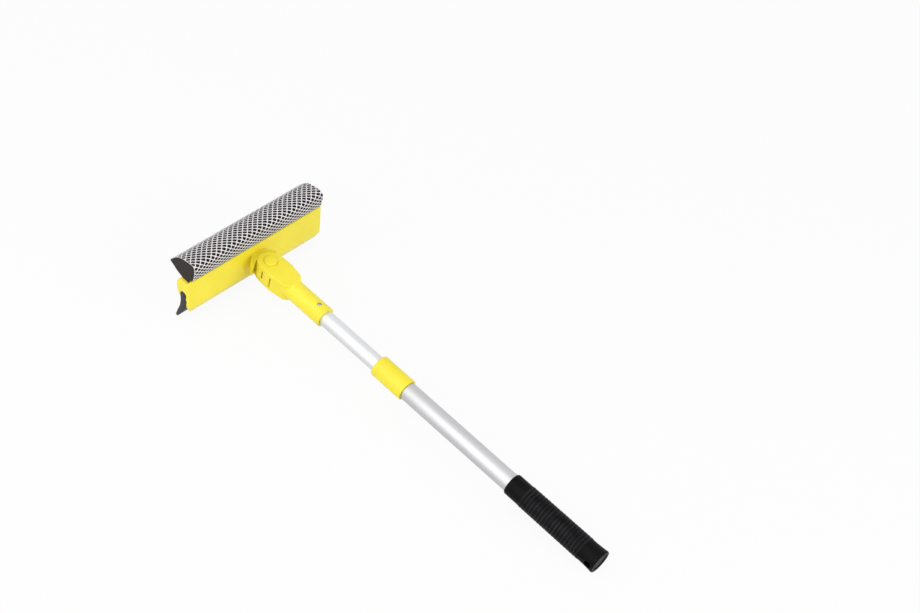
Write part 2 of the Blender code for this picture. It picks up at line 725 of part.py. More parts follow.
def button_spring():
    """A compression spring between the plug and the roof of the button."""
    low = PLUG_TOP_Z + FIT + SPRING_WIRE / 2
    high = BUTTON_TOP_Z - BUTTON_ROOF - FIT - SPRING_WIRE / 2
    count = SPRING_TURNS * SPRING_POINTS_PER_TURN + 1
    curve = bpy.data.curves.new("button_spring", "CURVE")
    curve.dimensions = "3D"
    curve.bevel_depth = SPRING_WIRE / 2
    curve.bevel_resolution = 2
    curve.use_fill_caps = True
    spline = curve.splines.new("POLY")
    spline.points.add(count - 1)
    for index in range(count):
        angle = 2 * math.pi * index / SPRING_POINTS_PER_TURN
        x, y = SPRING_RADIUS * math.cos(angle), SPRING_RADIUS * math.sin(angle)
        spline.points[index].co = (x, y, low + (high - low) * index / (count - 1), 1)
    spring = bpy.data.objects.new("button_spring", curve)
    return as_part(spring, ZINC_STEEL)


def pivot_plug():
    flange_top = KNUCKLE_BOTTOM_Z - FIT
    flange_bottom = flange_top - PLUG_FLANGE_THICKNESS
    seat_radius = PIVOT_SCREW_HEAD_RADIUS + WASHER_RIM + FIT
    hole = PIVOT_SCREW_RADIUS + FIT
    profile = [
        (hole, PLUG_TOP_Z), (PLUG_RADIUS, PLUG_TOP_Z), (PLUG_RADIUS, flange_top),
        (PLUG_FLANGE_RADIUS, flange_top), (PLUG_FLANGE_RADIUS, flange_bottom),
        (seat_radius, flange_bottom), (seat_radius, screw_seat_z()), (hole, screw_seat_z()),
    ]
    return as_part(turned("pivot_plug", profile, TURN_STEPS, closed=True), GREY_PLASTIC)


def screw_seat_z():
    """The face inside the plug that the pivot screw's washer rests on."""
    stack = WASHER_THICKNESS + PIVOT_SCREW_HEAD_HEIGHT + 2 * FIT
    return KNUCKLE_BOTTOM_Z - FIT - PLUG_FLANGE_THICKNESS + stack


def washer(name, outer, inner, top, frame=Matrix()):
    bottom = top - WASHER_THICKNESS
    profile = [(inner, top), (outer, top), (outer, bottom), (inner, bottom)]
    return turned(name, profile, SMALL_TURN_STEPS, frame, closed=True)


def pivot_washer():
    outer = PIVOT_SCREW_HEAD_RADIUS + WASHER_RIM
    ring = washer("pivot_washer", outer, PIVOT_SCREW_RADIUS + FIT, screw_seat_z() - FIT)
    return as_part(ring, ZINC_STEEL)


def cross_cutters(name, radius, face, into, frame=Matrix()):
    """A cross recess in a screw's head: two bars cut into the head from its face."""
    reach, half = radius * SCREW_CROSS_SHARE, SCREW_CROSS_WIDTH / 2
    low, high = sorted((face - into * OVERRUN, face + into * SCREW_CROSS_DEPTH))
    return [
        prism(name + "_first_cutter", box_outline((-reach, -half), (reach, half)), low, high, frame),
        prism(name + "_second_cutter", box_outline((-half, -reach), (half, reach)), low, high, frame),
    ]


def pivot_screw():
    head_top = screw_seat_z() - WASHER_THICKNESS - 2 * FIT
    head_bottom = head_top - PIVOT_SCREW_HEAD_HEIGHT
    profile = [
        (0, PIVOT_SCREW_TIP_Z), (PIVOT_SCREW_RADIUS, PIVOT_SCREW_TIP_Z), (PIVOT_SCREW_RADIUS, head_top),
        (PIVOT_SCREW_HEAD_RADIUS, head_top), (PIVOT_SCREW_HEAD_RADIUS, head_bottom), (0, head_bottom),
    ]
    screw = turned("pivot_screw", profile, SMALL_TURN_STEPS)
    cut(screw, *cross_cutters("pivot_screw_cross", PIVOT_SCREW_HEAD_RADIUS, head_bottom, 1))
    return as_part(screw, ZINC_STEEL)


def socket_screw():
    seat = SOCKET_RADIUS - SOCKET_SCREW_SEAT_DEPTH + FIT
    top = seat + SOCKET_SCREW_HEAD_HEIGHT
    radius = SOCKET_SCREW_HEAD_RADIUS
    shoulder = radius * SCREW_CROSS_SHARE
    profile = [
        (0, top), (shoulder, top), (radius, seat + SOCKET_SCREW_HEAD_HEIGHT / 2), (radius, seat),
        (SOCKET_SCREW_RADIUS, seat), (SOCKET_SCREW_RADIUS, seat - SOCKET_SCREW_LENGTH + SOCKET_SCREW_RADIUS),
        (0, seat - SOCKET_SCREW_LENGTH),
    ]
    place = Matrix.Translation((0, -SOCKET_SCREW_BACK, 0))
    screw = turned("socket_screw", profile, SMALL_TURN_STEPS, place)
    cut(screw, *cross_cutters("socket_screw_cross", radius, top, -1, place))
    return as_part(screw, ZINC_STEEL)


# Pole

def inner_tube():
    profile = tube_profile(INNER_TUBE_RADIUS, INNER_BORE, INNER_TUBE_START_BACK, INNER_TUBE_END_BACK)
    tube = turned("inner_tube", profile, FINE_TURN_STEPS, ALONG_POLE, closed=True)
    hole = rod_profile(SOCKET_SCREW_RADIUS + FIT, INNER_TUBE_RADIUS + OVERRUN, 0)
    place = Matrix.Translation((0, -SOCKET_SCREW_BACK, 0))
    cut(tube, turned("tube_screw_hole_cutter", hole, SMALL_TURN_STEPS, place), cam_pin_hole("tube"))
    return as_part(tube, SATIN_ALUMINIUM)


def cam_pin_solid(name, radius, half_length):
    across = Matrix.Translation((0, -INNER_TUBE_END_BACK + CAM_PIN_SETBACK, 0)) @ ACROSS_HEAD
    return turned(name, rod_profile(radius, half_length, -half_length), SMALL_TURN_STEPS, across)


def cam_pin_hole(owner):
    return cam_pin_solid(owner + "_pin_hole_cutter", CAM_PIN_RADIUS + FIT, INNER_TUBE_RADIUS + OVERRUN)


def cam_pin():
    return as_part(cam_pin_solid("cam_pin", CAM_PIN_RADIUS, INNER_TUBE_RADIUS - FIT), ZINC_STEEL)


def outer_tube():
    start = COLLAR_START_BACK + COLLAR_LIP_LENGTH + FIT
    profile = tube_profile(OUTER_TUBE_RADIUS, OUTER_BORE, start, OUTER_TUBE_END_BACK)
    return as_part(turned("outer_tube", profile, FINE_TURN_STEPS, ALONG_POLE, closed=True), SATIN_ALUMINIUM)


def collar():
    edge = COLLAR_EDGE_ROUND
    lip_bore = INNER_TUBE_RADIUS + FIT
    tube_bore = OUTER_TUBE_RADIUS + FIT
    lip_end = COLLAR_START_BACK + COLLAR_LIP_LENGTH
    profile = [
        (COLLAR_RADIUS - edge, -COLLAR_START_BACK), (COLLAR_RADIUS, -COLLAR_START_BACK - edge),
        (COLLAR_RADIUS, -COLLAR_END_BACK + edge), (COLLAR_RADIUS - edge, -COLLAR_END_BACK),
        (tube_bore, -COLLAR_END_BACK), (tube_bore, -lip_end), (lip_bore, -lip_end),
        (lip_bore, -COLLAR_START_BACK),
    ]
    return as_part(turned("collar", profile, FINE_TURN_STEPS, ALONG_POLE, closed=True), YELLOW_PLASTIC)


def cam_plug():
    """Pressed into the inner tube's end, with a stub off the pole's axis that the cam rides on."""
    tube_end = INNER_TUBE_END_BACK
    flange_start = tube_end + FIT
    flange_end = flange_start + CAM_PLUG_FLANGE
    body = INNER_BORE - FIT
    profile = [
        (0, -tube_end + CAM_PLUG_LENGTH), (body, -tube_end + CAM_PLUG_LENGTH), (body, -flange_start),
        (INNER_TUBE_RADIUS, -flange_start), (INNER_TUBE_RADIUS, -flange_end), (0, -flange_end),
    ]
    plug = turned("cam_plug", profile, TURN_STEPS, ALONG_POLE)
    stub = rod_profile(STUB_RADIUS, -flange_start, -stub_end_back())
    join(plug, turned("cam_stub", stub, SMALL_TURN_STEPS, ALONG_STUB))
    hole_end = stub_end_back() - CAM_SCREW_LENGTH
    hole = rod_profile(CAM_SCREW_RADIUS + FIT, -hole_end, -stub_end_back() - OVERRUN)
    cut(plug, turned("stub_hole_cutter", hole, SMALL_TURN_STEPS, ALONG_STUB), cam_pin_hole("plug"))
    return as_part(plug, GREY_PLASTIC)


def cam_start_back():
    return INNER_TUBE_END_BACK + CAM_PLUG_FLANGE + 2 * FIT


def stub_end_back():
    return cam_start_back() + CAM_LENGTH + FIT


def lock_cam():
    start = cam_start_back()
    cam = turned("lock_cam", rod_profile(CAM_RADIUS, -start, -start - CAM_LENGTH), TURN_STEPS, ALONG_POLE)
    hole = rod_profile(STUB_RADIUS + STUB_PLAY, -start + OVERRUN, -start - CAM_LENGTH - OVERRUN)
    cut(cam, turned("cam_hole_cutter", hole, SMALL_TURN_STEPS, ALONG_STUB))
    return as_part(cam, BLACK_RUBBER)


def cam_washer():
    outer = STUB_RADIUS + WASHER_RIM
    ring = washer("cam_washer", outer, CAM_SCREW_RADIUS + FIT, -stub_end_back() - FIT, ALONG_STUB)
    return as_part(ring, ZINC_STEEL)


def cam_screw():
    head_start = stub_end_back() + WASHER_THICKNESS + 2 * FIT
    tip = head_start - CAM_SCREW_LENGTH
    profile = [
        (0, -tip), (CAM_SCREW_RADIUS, -tip), (CAM_SCREW_RADIUS, -head_start),
        (CAM_SCREW_HEAD_RADIUS, -head_start), (CAM_SCREW_HEAD_RADIUS, -head_start - CAM_SCREW_HEAD_HEIGHT),
        (0, -head_start - CAM_SCREW_HEAD_HEIGHT),
    ]
    return as_part(turned("cam_screw", profile, SMALL_TURN_STEPS, ALONG_STUB), ZINC_STEEL)


def tube_end_plug():
    end = OUTER_TUBE_END_BACK
    flange_start = end + FIT
    flange_end = flange_start + END_PLUG_FLANGE
    body = OUTER_BORE - FIT
    profile = [
        (0, -end + END_PLUG_LENGTH), (body, -end + END_PLUG_LENGTH), (body, -flange_start),
        (OUTER_TUBE_RADIUS, -flange_start), (OUTER_TUBE_RADIUS, -flange_end), (0, -flange_end),
    ]
    return as_part(turned("tube_end_plug", profile, TURN_STEPS, ALONG_POLE), GREY_PLASTIC)


def grip_radius(back):
    """The grip's outer radius: it swells a little from its mouth and flares at its end."""
    flare_start = GRIP_END_BACK - GRIP_FLARE_LENGTH
    if back > flare_start:
        share = (back - flare_start) / GRIP_FLARE_LENGTH
        return GRIP_BODY_RADIUS + (GRIP_END_RADIUS - GRIP_BODY_RADIUS) * share ** 2
    share = (back - GRIP_START_BACK) / (flare_start - GRIP_START_BACK)
    return GRIP_START_RADIUS + (GRIP_BODY_RADIUS - GRIP_START_RADIUS) * share


def grip():
    edge = GRIP_EDGE_ROUND
    start, end = GRIP_START_BACK, GRIP_END_BACK
    bore = OUTER_TUBE_RADIUS + FIT
    bore_end = OUTER_TUBE_END_BACK + END_PLUG_FLANGE + 2 * FIT
    profile = [(grip_radius(start) - edge, -start), (grip_radius(start + edge), -start - edge)]
    for rib in range(GRIP_RIB_COUNT):
        back = GRIP_RIB_START_BACK + rib * GRIP_RIB_PITCH
        profile.append((grip_radius(back), -back))
        crest = back + GRIP_RIB_PITCH / 2
        profile.append((grip_radius(crest) + GRIP_RIB_HEIGHT, -crest))
    flat_start = GRIP_RIB_START_BACK + GRIP_RIB_COUNT * GRIP_RIB_PITCH
    for step in range(CORNER_STEPS + 1):
        back = flat_start + (end - edge - flat_start) * step / CORNER_STEPS
        profile.append((grip_radius(back), -back))
    profile += [(grip_radius(end) - edge, -end), (0, -end), (0, -bore_end), (bore, -bore_end), (bore, -start)]
    sleeve = turned("grip", profile, GRIP_TURN_STEPS, ALONG_POLE)
    close_profile(sleeve)
    hole = rod_profile(HANG_HOLE_RADIUS, GRIP_END_RADIUS + OVERRUN, -GRIP_END_RADIUS - OVERRUN)
    place = Matrix.Translation((0, -HANG_HOLE_BACK, 0)) @ ACROSS_HEAD
    cut(sleeve, turned("hang_hole_cutter", hole, SMALL_TURN_STEPS, place))
    return as_part(sleeve, BLACK_RUBBER)


def close_profile(solid):
    """Joins a profile's last point to its first, and leaves the stretch along the axis open."""
    shape = bmesh.new()
    shape.from_mesh(solid.data)
    shape.verts.ensure_lookup_table()
    shape.edges.new((shape.verts[-1], shape.verts[0]))
    on_axis = [edge for edge in shape.edges if all(vert.co.x == 0 for vert in edge.verts)]
    bmesh.ops.delete(shape, geom=on_axis, context="EDGES")
    shape.to_mesh(solid.data)
    shape.free()


clear_scene()
PARTS = new_collection(PARTS_NAME)
CUTTERS = new_collection(CUTTERS_NAME)
PIVOT = pivot_place()

head_frame()
rubber_blade()
sponge_core()
net_cover()
swivel_knuckle()
lock_button()
button_spring()
pivot_plug()
pivot_washer()
pivot_screw()
socket_screw()
inner_tube()
cam_plug()
cam_pin()
lock_cam()
cam_washer()
cam_screw()
collar()
outer_tube()
tube_end_plug()
grip()
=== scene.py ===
"""The looks of a telescopic window squeegee: fine pieces over its solids, their finishes and the studio.

Places are measured from the swivel pivot, where the pole's axis crosses the swivel's axis. X runs along the
head, Y along the pole towards the head and Z up. "Back" is the distance from the pivot towards the grip.
Lengths are in metres.
"""

import json
import math

import bmesh
import bpy
from mathutils import Matrix, Vector

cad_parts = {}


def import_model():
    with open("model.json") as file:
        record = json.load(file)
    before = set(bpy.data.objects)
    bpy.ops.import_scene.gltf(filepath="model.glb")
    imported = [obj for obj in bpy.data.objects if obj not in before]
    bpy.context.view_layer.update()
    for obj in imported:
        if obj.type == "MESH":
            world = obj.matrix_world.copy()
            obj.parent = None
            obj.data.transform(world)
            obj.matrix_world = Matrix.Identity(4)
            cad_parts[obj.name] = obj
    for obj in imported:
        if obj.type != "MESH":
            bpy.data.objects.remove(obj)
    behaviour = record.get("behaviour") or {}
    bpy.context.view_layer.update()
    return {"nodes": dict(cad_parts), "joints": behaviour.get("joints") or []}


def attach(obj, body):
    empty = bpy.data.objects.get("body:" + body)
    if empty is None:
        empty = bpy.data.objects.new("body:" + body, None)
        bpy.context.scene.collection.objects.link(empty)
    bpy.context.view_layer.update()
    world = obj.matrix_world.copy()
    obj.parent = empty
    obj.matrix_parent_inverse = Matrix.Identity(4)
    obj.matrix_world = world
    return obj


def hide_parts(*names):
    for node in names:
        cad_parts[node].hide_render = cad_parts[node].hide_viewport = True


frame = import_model()

SWIVEL = next(joint for joint in frame["joints"] if joint["name"] == "head_swivel")
PIVOT = Vector(SWIVEL["pos_m"])

# Gaps, cutter overruns and thin edges
FIT = 0.0003
SNUG = 0.00015
OVERRUN = 0.002
THIN_EDGE_ROUND = 0.0002

# Head moulding, as a section of Y and Z
HEAD_LENGTH = 0.2034
LIP_TOP_Z = 0.0185
LIP_BACK_Y = 0.0244
LIP_THICKNESS = 0.0020
LIP_ROUND = 0.0008
WALL_FOOT_Y = 0.0183
WALL_FOOT_Z = -0.0190
WALL_FOOT_ROUND = 0.0070
WALL_HEEL_Y = 0.0215
WALL_HEEL_Z = -0.0295
WALL_HEEL_ROUND = 0.0040
WALL_BOTTOM_Z = -0.0312
WALL_FRONT_Y = 0.0248
WALL_EDGE_ROUND = 0.0010
WALL_CORNER_ROUND = 0.0135
TRAY_Z = 0.0144
TRAY_FRONT_Y = 0.0385
TRAY_ROUND = 0.0015
NOSE_Y = 0.0434
NOSE_TOP_Z = 0.0096
NOSE_LOW_Z = 0.0005
NOSE_ROUND = 0.0024
HEAD_END_ROUND = 0.0006
CHANNEL_BACK_Y = 0.0264
CHANNEL_WIDTH = 0.0100
CHANNEL_ROOF_Z = -0.0018
CHANNEL_DEPTH = 0.0070
CHANNEL_ROUND = 0.0044
CHANNEL_LIP = 0.0004
CHANNEL_LIP_DROP = 0.0018
FRONT_LIP_THICKNESS = 0.0022

# Cradle on the head's back, tongue inside the fork
CRADLE_RADIUS = 0.0207
CRADLE_TOP_Z = 0.0070
CRADLE_BOTTOM_Z = -0.0088
CRADLE_END_Y = 0.0085
CRADLE_REACH_SHARE = 1.16
CRADLE_BLEND = 0.0005
CRADLE_SMOOTHINGS = 10
TONGUE_TOP_Z = 0.0043
TONGUE_BOTTOM_Z = -0.0085
TONGUE_CORE_RADIUS = 0.0118
TONGUE_RIM_Y = -0.0024
NECK_HALF_WIDTH = 0.0092

# Rubber blade
BLADE_TIP_Z = -0.0467
BLADE_FLICK = 0.0033
BLADE_TIP_WIDTH = 0.0030
BLADE_BEAD_ROUND = CHANNEL_ROUND - FIT
BLADE_EDGE_ROUND = 0.0003
BLADE_FRONT_SHARES = [(0.00, 0.02), (-0.33, 0.17), (-0.36, 0.335), (-0.15, 0.51), (0.51, 0.74), (1.00, 1.00)]
BLADE_REAR_SHARES = [(0.55, 0.80), (0.15, 0.595), (-0.12, 0.44), (-0.22, 0.285), (-0.18, 0.13), (0.00, 0.02)]

# Sponge and net
SPONGE_LENGTH = 0.1980
SPONGE_DEPTH = 0.0386
SPONGE_HEIGHT = 0.0302
SPONGE_BULGE = 0.0056
SPONGE_END_ROUND = 0.0012
SPONGE_CROWN_SHARES = [
    (0.111, 0.185), (0.060, 0.225), (0.018, 0.330), (0.000, 0.507), (0.003, 0.705), (0.018, 0.871),
    (0.065, 0.977), (0.150, 1.000), (0.288, 0.980), (0.456, 0.930), (0.604, 0.868), (0.738, 0.765),
    (0.883, 0.560), (0.977, 0.394), (1.000, 0.338),
]
SPONGE_UNDER_SHARES = [(0.977, 0.308), (0.857, 0.235), (0.687, 0.116), (0.534, 0.050), (0.417, 0.007)]
SPONGE_SEAT_SHARES = [(0.360, 0.000), (0.200, 0.000)]
NET_ROOM = 0.0005
NET_UNDER_LENGTH = 0.0045
NET_THICKNESS = 0.00022
NET_LIFT = 0.0002
NET_PITCH_ALONG = 0.00737
NET_PITCH_ACROSS = 0.0055
NET_LEAN = -0.237
NET_ROW_SLOPE = -0.039
NET_SPARE_COLUMNS = 2
NET_SPARE_ROWS = 4
NET_STRAND_HALF_WIDTH = 0.00042
NET_CROWN_STRETCH = 0.19
NET_CORNER_SOFTENING = 0.3
NET_SMALLEST_HOLE = 0.0000075
# How far above the lip's top the yarn turns greyer
NET_LIP_GREY_REACH = 0.006

# Swivel knuckle
KNUCKLE_ROUND = 0.0152
KNUCKLE_TOP_Z = 0.0122
KNUCKLE_BOTTOM_Z = -0.0120
KNUCKLE_HALF_WIDTH = 0.0158
KNUCKLE_WIDE_BACK = 0.0100
KNUCKLE_STRAIGHT_BACK = 0.0190
KNUCKLE_NARROW_HALF_WIDTH = 0.0130
KNUCKLE_NARROW_BACK = 0.0365
KNUCKLE_END_BACK = 0.0425
KNUCKLE_END_HALF_WIDTH = 0.0085
KNUCKLE_SHOULDER_ROUND = 0.010
KNUCKLE_SIDE_ROUND = 0.020
KNUCKLE_NECK_ROUND = 0.005
KNUCKLE_END_ROUND = 0.004
KNUCKLE_BLEND = 0.0005
KNUCKLE_SMOOTHINGS = 9
LEDGE_RADIUS = 0.0163
LEDGE_START_Y = 0.0085
LEDGE_TOP_Z = -0.0091
LEDGE_BOTTOM_Z = -0.0112
FORK_TOP_Z = 0.0046
FORK_BOTTOM_Z = -0.0088
FORK_OPENING_BACK = 0.0025
SWIVEL_STOP = math.radians(60)
SLOT_WIDTH = 0.0021
SLOT_DEPTH = 0.0044
SLOT_TOP_Z = 0.0075
FRONT_SLOT_BOTTOM_Z = -0.0045
REAR_SLOT_BOTTOM_Z = -0.0080
REAR_SLOT_BACK = 0.0157
SOCKET_RADIUS = 0.0123
SOCKET_START_BACK = 0.0330
SOCKET_MOUTH_BACK = 0.0930
TUBE_STOP_BACK = 0.0447

# Button, plug and screws
BUTTON_RADIUS = 0.0076
BUTTON_TOP_Z = 0.0137
BUTTON_ROUND = 0.0009
BUTTON_TRAVEL = 0.0030
BUTTON_DOME = 0.0004
BUTTON_DOME_SHARES = (0.8, 0.6, 0.4, 0.2, 0.05)
BUTTON_BOTTOM_Z = 0.0021
DISH_RADIUS = 0.0093
DISH_DEPTH = 0.0009
TOOTH_COUNT = 24
TOOTH_TIP_RADIUS = 0.0096
TOOTH_HEIGHT = 0.0010
TOOTH_RING_TOP_Z = 0.0071
TOOTH_TIP_SHARE = 0.22
TOOTH_ROOT_SHARE = 0.50
PLUG_RADIUS = 0.0077
PLUG_TOP_Z = -0.0040
PLUG_FLANGE_RADIUS = 0.0105
PLUG_FLANGE_TOP_Z = -0.0123
PLUG_FLANGE_BOTTOM_Z = -0.0135
PLUG_SEAT_RADIUS = 0.0039
PLUG_SEAT_Z = -0.0105
PIVOT_SCREW_RADIUS = 0.0015
PIVOT_SCREW_TIP_Z = 0.0065
PIVOT_SCREW_HEAD_RADIUS = 0.0029
PIVOT_SCREW_HEAD_TOP_Z = -0.0117
PIVOT_SCREW_HEAD_BOTTOM_Z = -0.0135
SOCKET_SCREW_BACK = 0.0810
SOCKET_SCREW_RADIUS = 0.0014
SOCKET_SCREW_HEAD_RADIUS = 0.0024
SOCKET_SCREW_HEAD_Z = 0.0112
SOCKET_SCREW_HEAD_HEIGHT = 0.0014
SOCKET_SCREW_LENGTH = 0.0080
SCREW_CROSS_SHARE = 0.62
SCREW_CROSS_WIDTH = 0.0008
SCREW_CROSS_DEPTH = 0.0009
SCREW_CROWN_NARROWING = 0.38
SCREW_TIP_SHARE = 0.3

# Pole
INNER_TUBE_RADIUS = 0.0095
OUTER_TUBE_RADIUS = 0.0110
TUBE_WALL = 0.0010
INNER_TUBE_START_BACK = 0.0450
INNER_TUBE_END_BACK = 0.4620
OUTER_TUBE_START_BACK = 0.1843
OUTER_TUBE_END_BACK = 0.4940
COLLAR_START_BACK = 0.1795
COLLAR_END_BACK = 0.2240
COLLAR_RADIUS = 0.0131
COLLAR_LIP_LENGTH = 0.0070
COLLAR_EDGE_ROUND = 0.0015

# Grip
GRIP_START_BACK = 0.3830
GRIP_END_BACK = 0.5110
GRIP_START_RADIUS = 0.0129
GRIP_BODY_RADIUS = 0.0133
GRIP_END_RADIUS = 0.0144
GRIP_FLARE_LENGTH = 0.0190
GRIP_EDGE_ROUND = 0.0006
GRIP_RIB_START_BACK = 0.4040
GRIP_RIB_COUNT = 20
GRIP_RIB_PITCH = 0.0043
GRIP_RIB_HEIGHT = 0.0005
GRIP_RIB_FULLNESS = 0.6
GRIP_RIB_FADE = 0.2
GRIP_BORE_END_BACK = 0.4958
GRIP_BORE_CLOSING_SHARE = 1 / 3
GRIP_DISH_RADIUS = 0.0110
GRIP_DISH_DEPTH = 0.0008
HANG_HOLE_BACK = 0.5035
HANG_HOLE_RADIUS = 0.0042
HANG_HOLE_FLARE = 0.0007

# Fineness
ROUND_STEPS = 96
SMALL_ROUND_STEPS = 48
CORNER_STEPS = 6
CURVE_STEPS = 6
RINGS_PER_RIB = 8
BLEND_SMOOTHING = 0.5
SMOOTH_ANGLE = math.radians(32)
EDGE_ANGLE = math.radians(40)
STEEP_EDGE_ANGLE = math.radians(60)
MERGE_DISTANCE = 0.00001

# Camera, from the pivot
CAMERA_PLACE = Vector((-1.075575, -0.882382, 1.521316))
CAMERA_RIGHT = Vector((0.66992889, -0.71419836, 0.20277077))
CAMERA_UP = Vector((0.45548907, 0.61106263, 0.64740417))
CAMERA_LENS_MM = 70.05
CAMERA_SENSOR_MM = 36.0
CAMERA_REACH = 50

# Colours, as linear red, green, blue and alpha
YELLOW_DEEP = (0.875, 0.735, 0.036, 1)
YELLOW_LIGHT = (0.925, 0.790, 0.050, 1)
YELLOW_SCUFF = (0.97, 0.88, 0.12, 1)
INNER_TUBE_DARK = (0.68, 0.685, 0.70, 1)
INNER_TUBE_LIGHT = (0.76, 0.765, 0.78, 1)
OUTER_TUBE_DARK = (0.52, 0.52, 0.53, 1)
OUTER_TUBE_LIGHT = (0.60, 0.60, 0.61, 1)
GRIP_BLACK = (0.0030, 0.0030, 0.0034, 1)
GRIP_DUST = (0.0062, 0.0062, 0.0070, 1)
# Painted highlight on the crest of each grip rib, also read as rubbed wear
GRIP_CREST_HIGHLIGHT = (0.024, 0.024, 0.027, 1)
BLADE_DARK = (0.014, 0.014, 0.018, 1)
BLADE_BLOOM = (0.024, 0.024, 0.030, 1)
# Foam under the net, painted darker as painted shade of the net over it
NET_SHADED_FOAM_PORE = (0.004, 0.0035, 0.0035, 1)
NET_SHADED_FOAM_WALL = (0.014, 0.012, 0.012, 1)
CUT_FOAM_PORE = (0.016, 0.014, 0.013, 1)
CUT_FOAM_WALL = (0.052, 0.045, 0.043, 1)
CUT_FOAM_DUST = (0.040, 0.034, 0.033, 1)
YARN_WHITE = (0.86, 0.830, 0.830, 1)
YARN_WORN = (0.76, 0.730, 0.735, 1)
# Yarn grey towards the lip's top
YARN_LIP_GREY = (0.46, 0.38, 0.43, 1)
YARN_FIBRE = (0.56, 0.52, 0.53, 1)
ZINC_DARK = (0.38, 0.38, 0.39, 1)
ZINC_LIGHT = (0.58, 0.58, 0.57, 1)
PLUG_DARK = (0.14, 0.14, 0.15, 1)
PLUG_LIGHT = (0.20, 0.20, 0.21, 1)
FLOOR_COLOUR = (0.74, 0.74, 0.74, 1)
SKY_COLOUR = (0.98, 0.99, 1.0, 1)
WHITE = (1, 1, 1, 1)

# Studio
FLOOR_SIZE = 12.0
FLOOR_GLOW_SHARE = 0.93
SKY_STRENGTH = 0.56
BLADE_REST_Y = 0.0375


# Modelling helpers

def at(x, y, z):
    return PIVOT + Vector((x, y, z))


def pick_nothing():
    bpy.ops.object.select_all(action="DESELECT")


def pick(piece):
    pick_nothing()
    piece.select_set(True)
    bpy.context.view_layer.objects.active = piece


def edit(piece, elements="VERT"):
    pick(piece)
    bpy.ops.object.mode_set(mode="EDIT")
    bpy.ops.mesh.select_mode(type=elements)


def leave_edit():
    bpy.ops.object.mode_set(mode="OBJECT")


def select_where(piece, elements, wanted):
    """In edit mode, selects only the "verts", "edges" or "faces" that a test wants."""
    bpy.ops.mesh.select_all(action="DESELECT")
    shape = bmesh.from_edit_mesh(piece.data)
    for element in getattr(shape, elements):
        element.select = wanted(element)
    shape.select_flush_mode()
    bmesh.update_edit_mesh(piece.data)


def make_consistent(piece):
    """Merges doubles and points every face outwards."""
    edit(piece)
    bpy.ops.mesh.select_all(action="SELECT")
    bpy.ops.mesh.remove_doubles(threshold=MERGE_DISTANCE)
    bpy.ops.mesh.normals_make_consistent(inside=False)
    leave_edit()


def apply_modifier(piece, kind, **settings):
    pick(piece)
    change = piece.modifiers.new(kind.lower(), kind)
    for name, value in settings.items():
        setattr(change, name, value)
    bpy.ops.object.modifier_apply(modifier=change.name)


def carve(piece, cutter, operation="DIFFERENCE"):
    """Cuts a cutter out of a piece, or joins or keeps what they share, and removes the cutter."""
    apply_modifier(piece, "BOOLEAN", object=cutter, operation=operation, solver="EXACT")
    bpy.data.objects.remove(cutter, do_unlink=True)


def section(name, outline, low, high, turn=Matrix()):
    """An outline in the turned XY plane through the pivot, drawn out from low to high along its Z."""
    pick_nothing()
    bpy.ops.mesh.primitive_circle_add(vertices=len(outline), fill_type="NGON")
    piece = bpy.context.object
    piece.name = name
    for vertex, (a, b) in zip(piece.data.vertices, outline):
        vertex.co = PIVOT + turn @ Vector((a, b, low))
    edit(piece)
    bpy.ops.mesh.select_all(action="SELECT")
    along = turn.to_3x3() @ Vector((0, 0, high - low))
    bpy.ops.mesh.extrude_region_move(TRANSFORM_OT_translate={"value": along})
    leave_edit()
    make_consistent(piece)
    return piece


def turned(name, profile, start, along, steps=ROUND_STEPS, closed=False):
    """A ring drawn out along an axis and resized at each (distance, radius) of a profile."""
    pick_nothing()
    first, radius = profile[0]
    facing = along.to_track_quat("Z", "Y").to_euler()
    fill = "NOTHING" if closed else "NGON"
    bpy.ops.mesh.primitive_circle_add(
        vertices=steps, radius=radius, fill_type=fill, location=start + along * first, rotation=facing,
    )
    piece = bpy.context.object
    piece.name = name
    bpy.ops.object.transform_apply(location=True, rotation=True, scale=True)
    edit(piece)
    bpy.ops.mesh.select_all(action="SELECT")
    for (before, old_radius), (place, radius) in zip(profile, profile[1:]):
        move = along * (place - before)
        share = radius / old_radius
        bpy.ops.mesh.extrude_region_move(TRANSFORM_OT_translate={"value": move})
        bpy.ops.transform.resize(value=(share, share, share), center_override=start + along * place)
    leave_edit()
    make_consistent(piece)
    return piece


def ease_sharp_edges(piece, width, segments=3, angle=EDGE_ANGLE):
    apply_modifier(piece, "BEVEL", width=width, segments=segments, limit_method="ANGLE", angle_limit=angle)


def soften(piece, fineness, rounds):
    """Blends a piece's edges and joined forms into each other."""
    apply_modifier(piece, "REMESH", mode="VOXEL", voxel_size=fineness, use_smooth_shade=True)
    apply_modifier(piece, "SMOOTH", factor=BLEND_SMOOTHING, iterations=rounds)


def finish_piece(piece, body, finish, slot, *nodes):
    """Shades a piece, gives it its finish and body, and lets it stand for its nodes."""
    pick(piece)
    bpy.ops.object.shade_smooth_by_angle(angle=SMOOTH_ANGLE)
    piece.data.materials.clear()
    piece.data.materials.append(finish)
    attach(piece, body)
    if nodes:
        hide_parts(*nodes)
    return piece


# Outline helpers

def rounded(corners):
    """A closed outline whose corners (a, b, radius) are rounded by arcs."""
    points = []
    for index, (a, b, radius) in enumerate(corners):
        here = Vector((a, b))
        before = Vector(corners[index - 1][:2]) - here
        after = Vector(corners[(index + 1) % len(corners)][:2]) - here
        if radius == 0:
            points.append((a, b))
            continue
        half_angle = before.angle(after) / 2
        before.normalize()
        after.normalize()
        centre = here + (before + after).normalized() * radius / math.sin(half_angle)
        start = here + before * radius / math.tan(half_angle) - centre
        end = here + after * radius / math.tan(half_angle) - centre
        swing = start.angle_signed(end)
        for step in range(CORNER_STEPS + 1):
            turned_by = Matrix.Rotation(-swing * step / CORNER_STEPS, 2)
            points.append(tuple(centre + turned_by @ start))
    return points


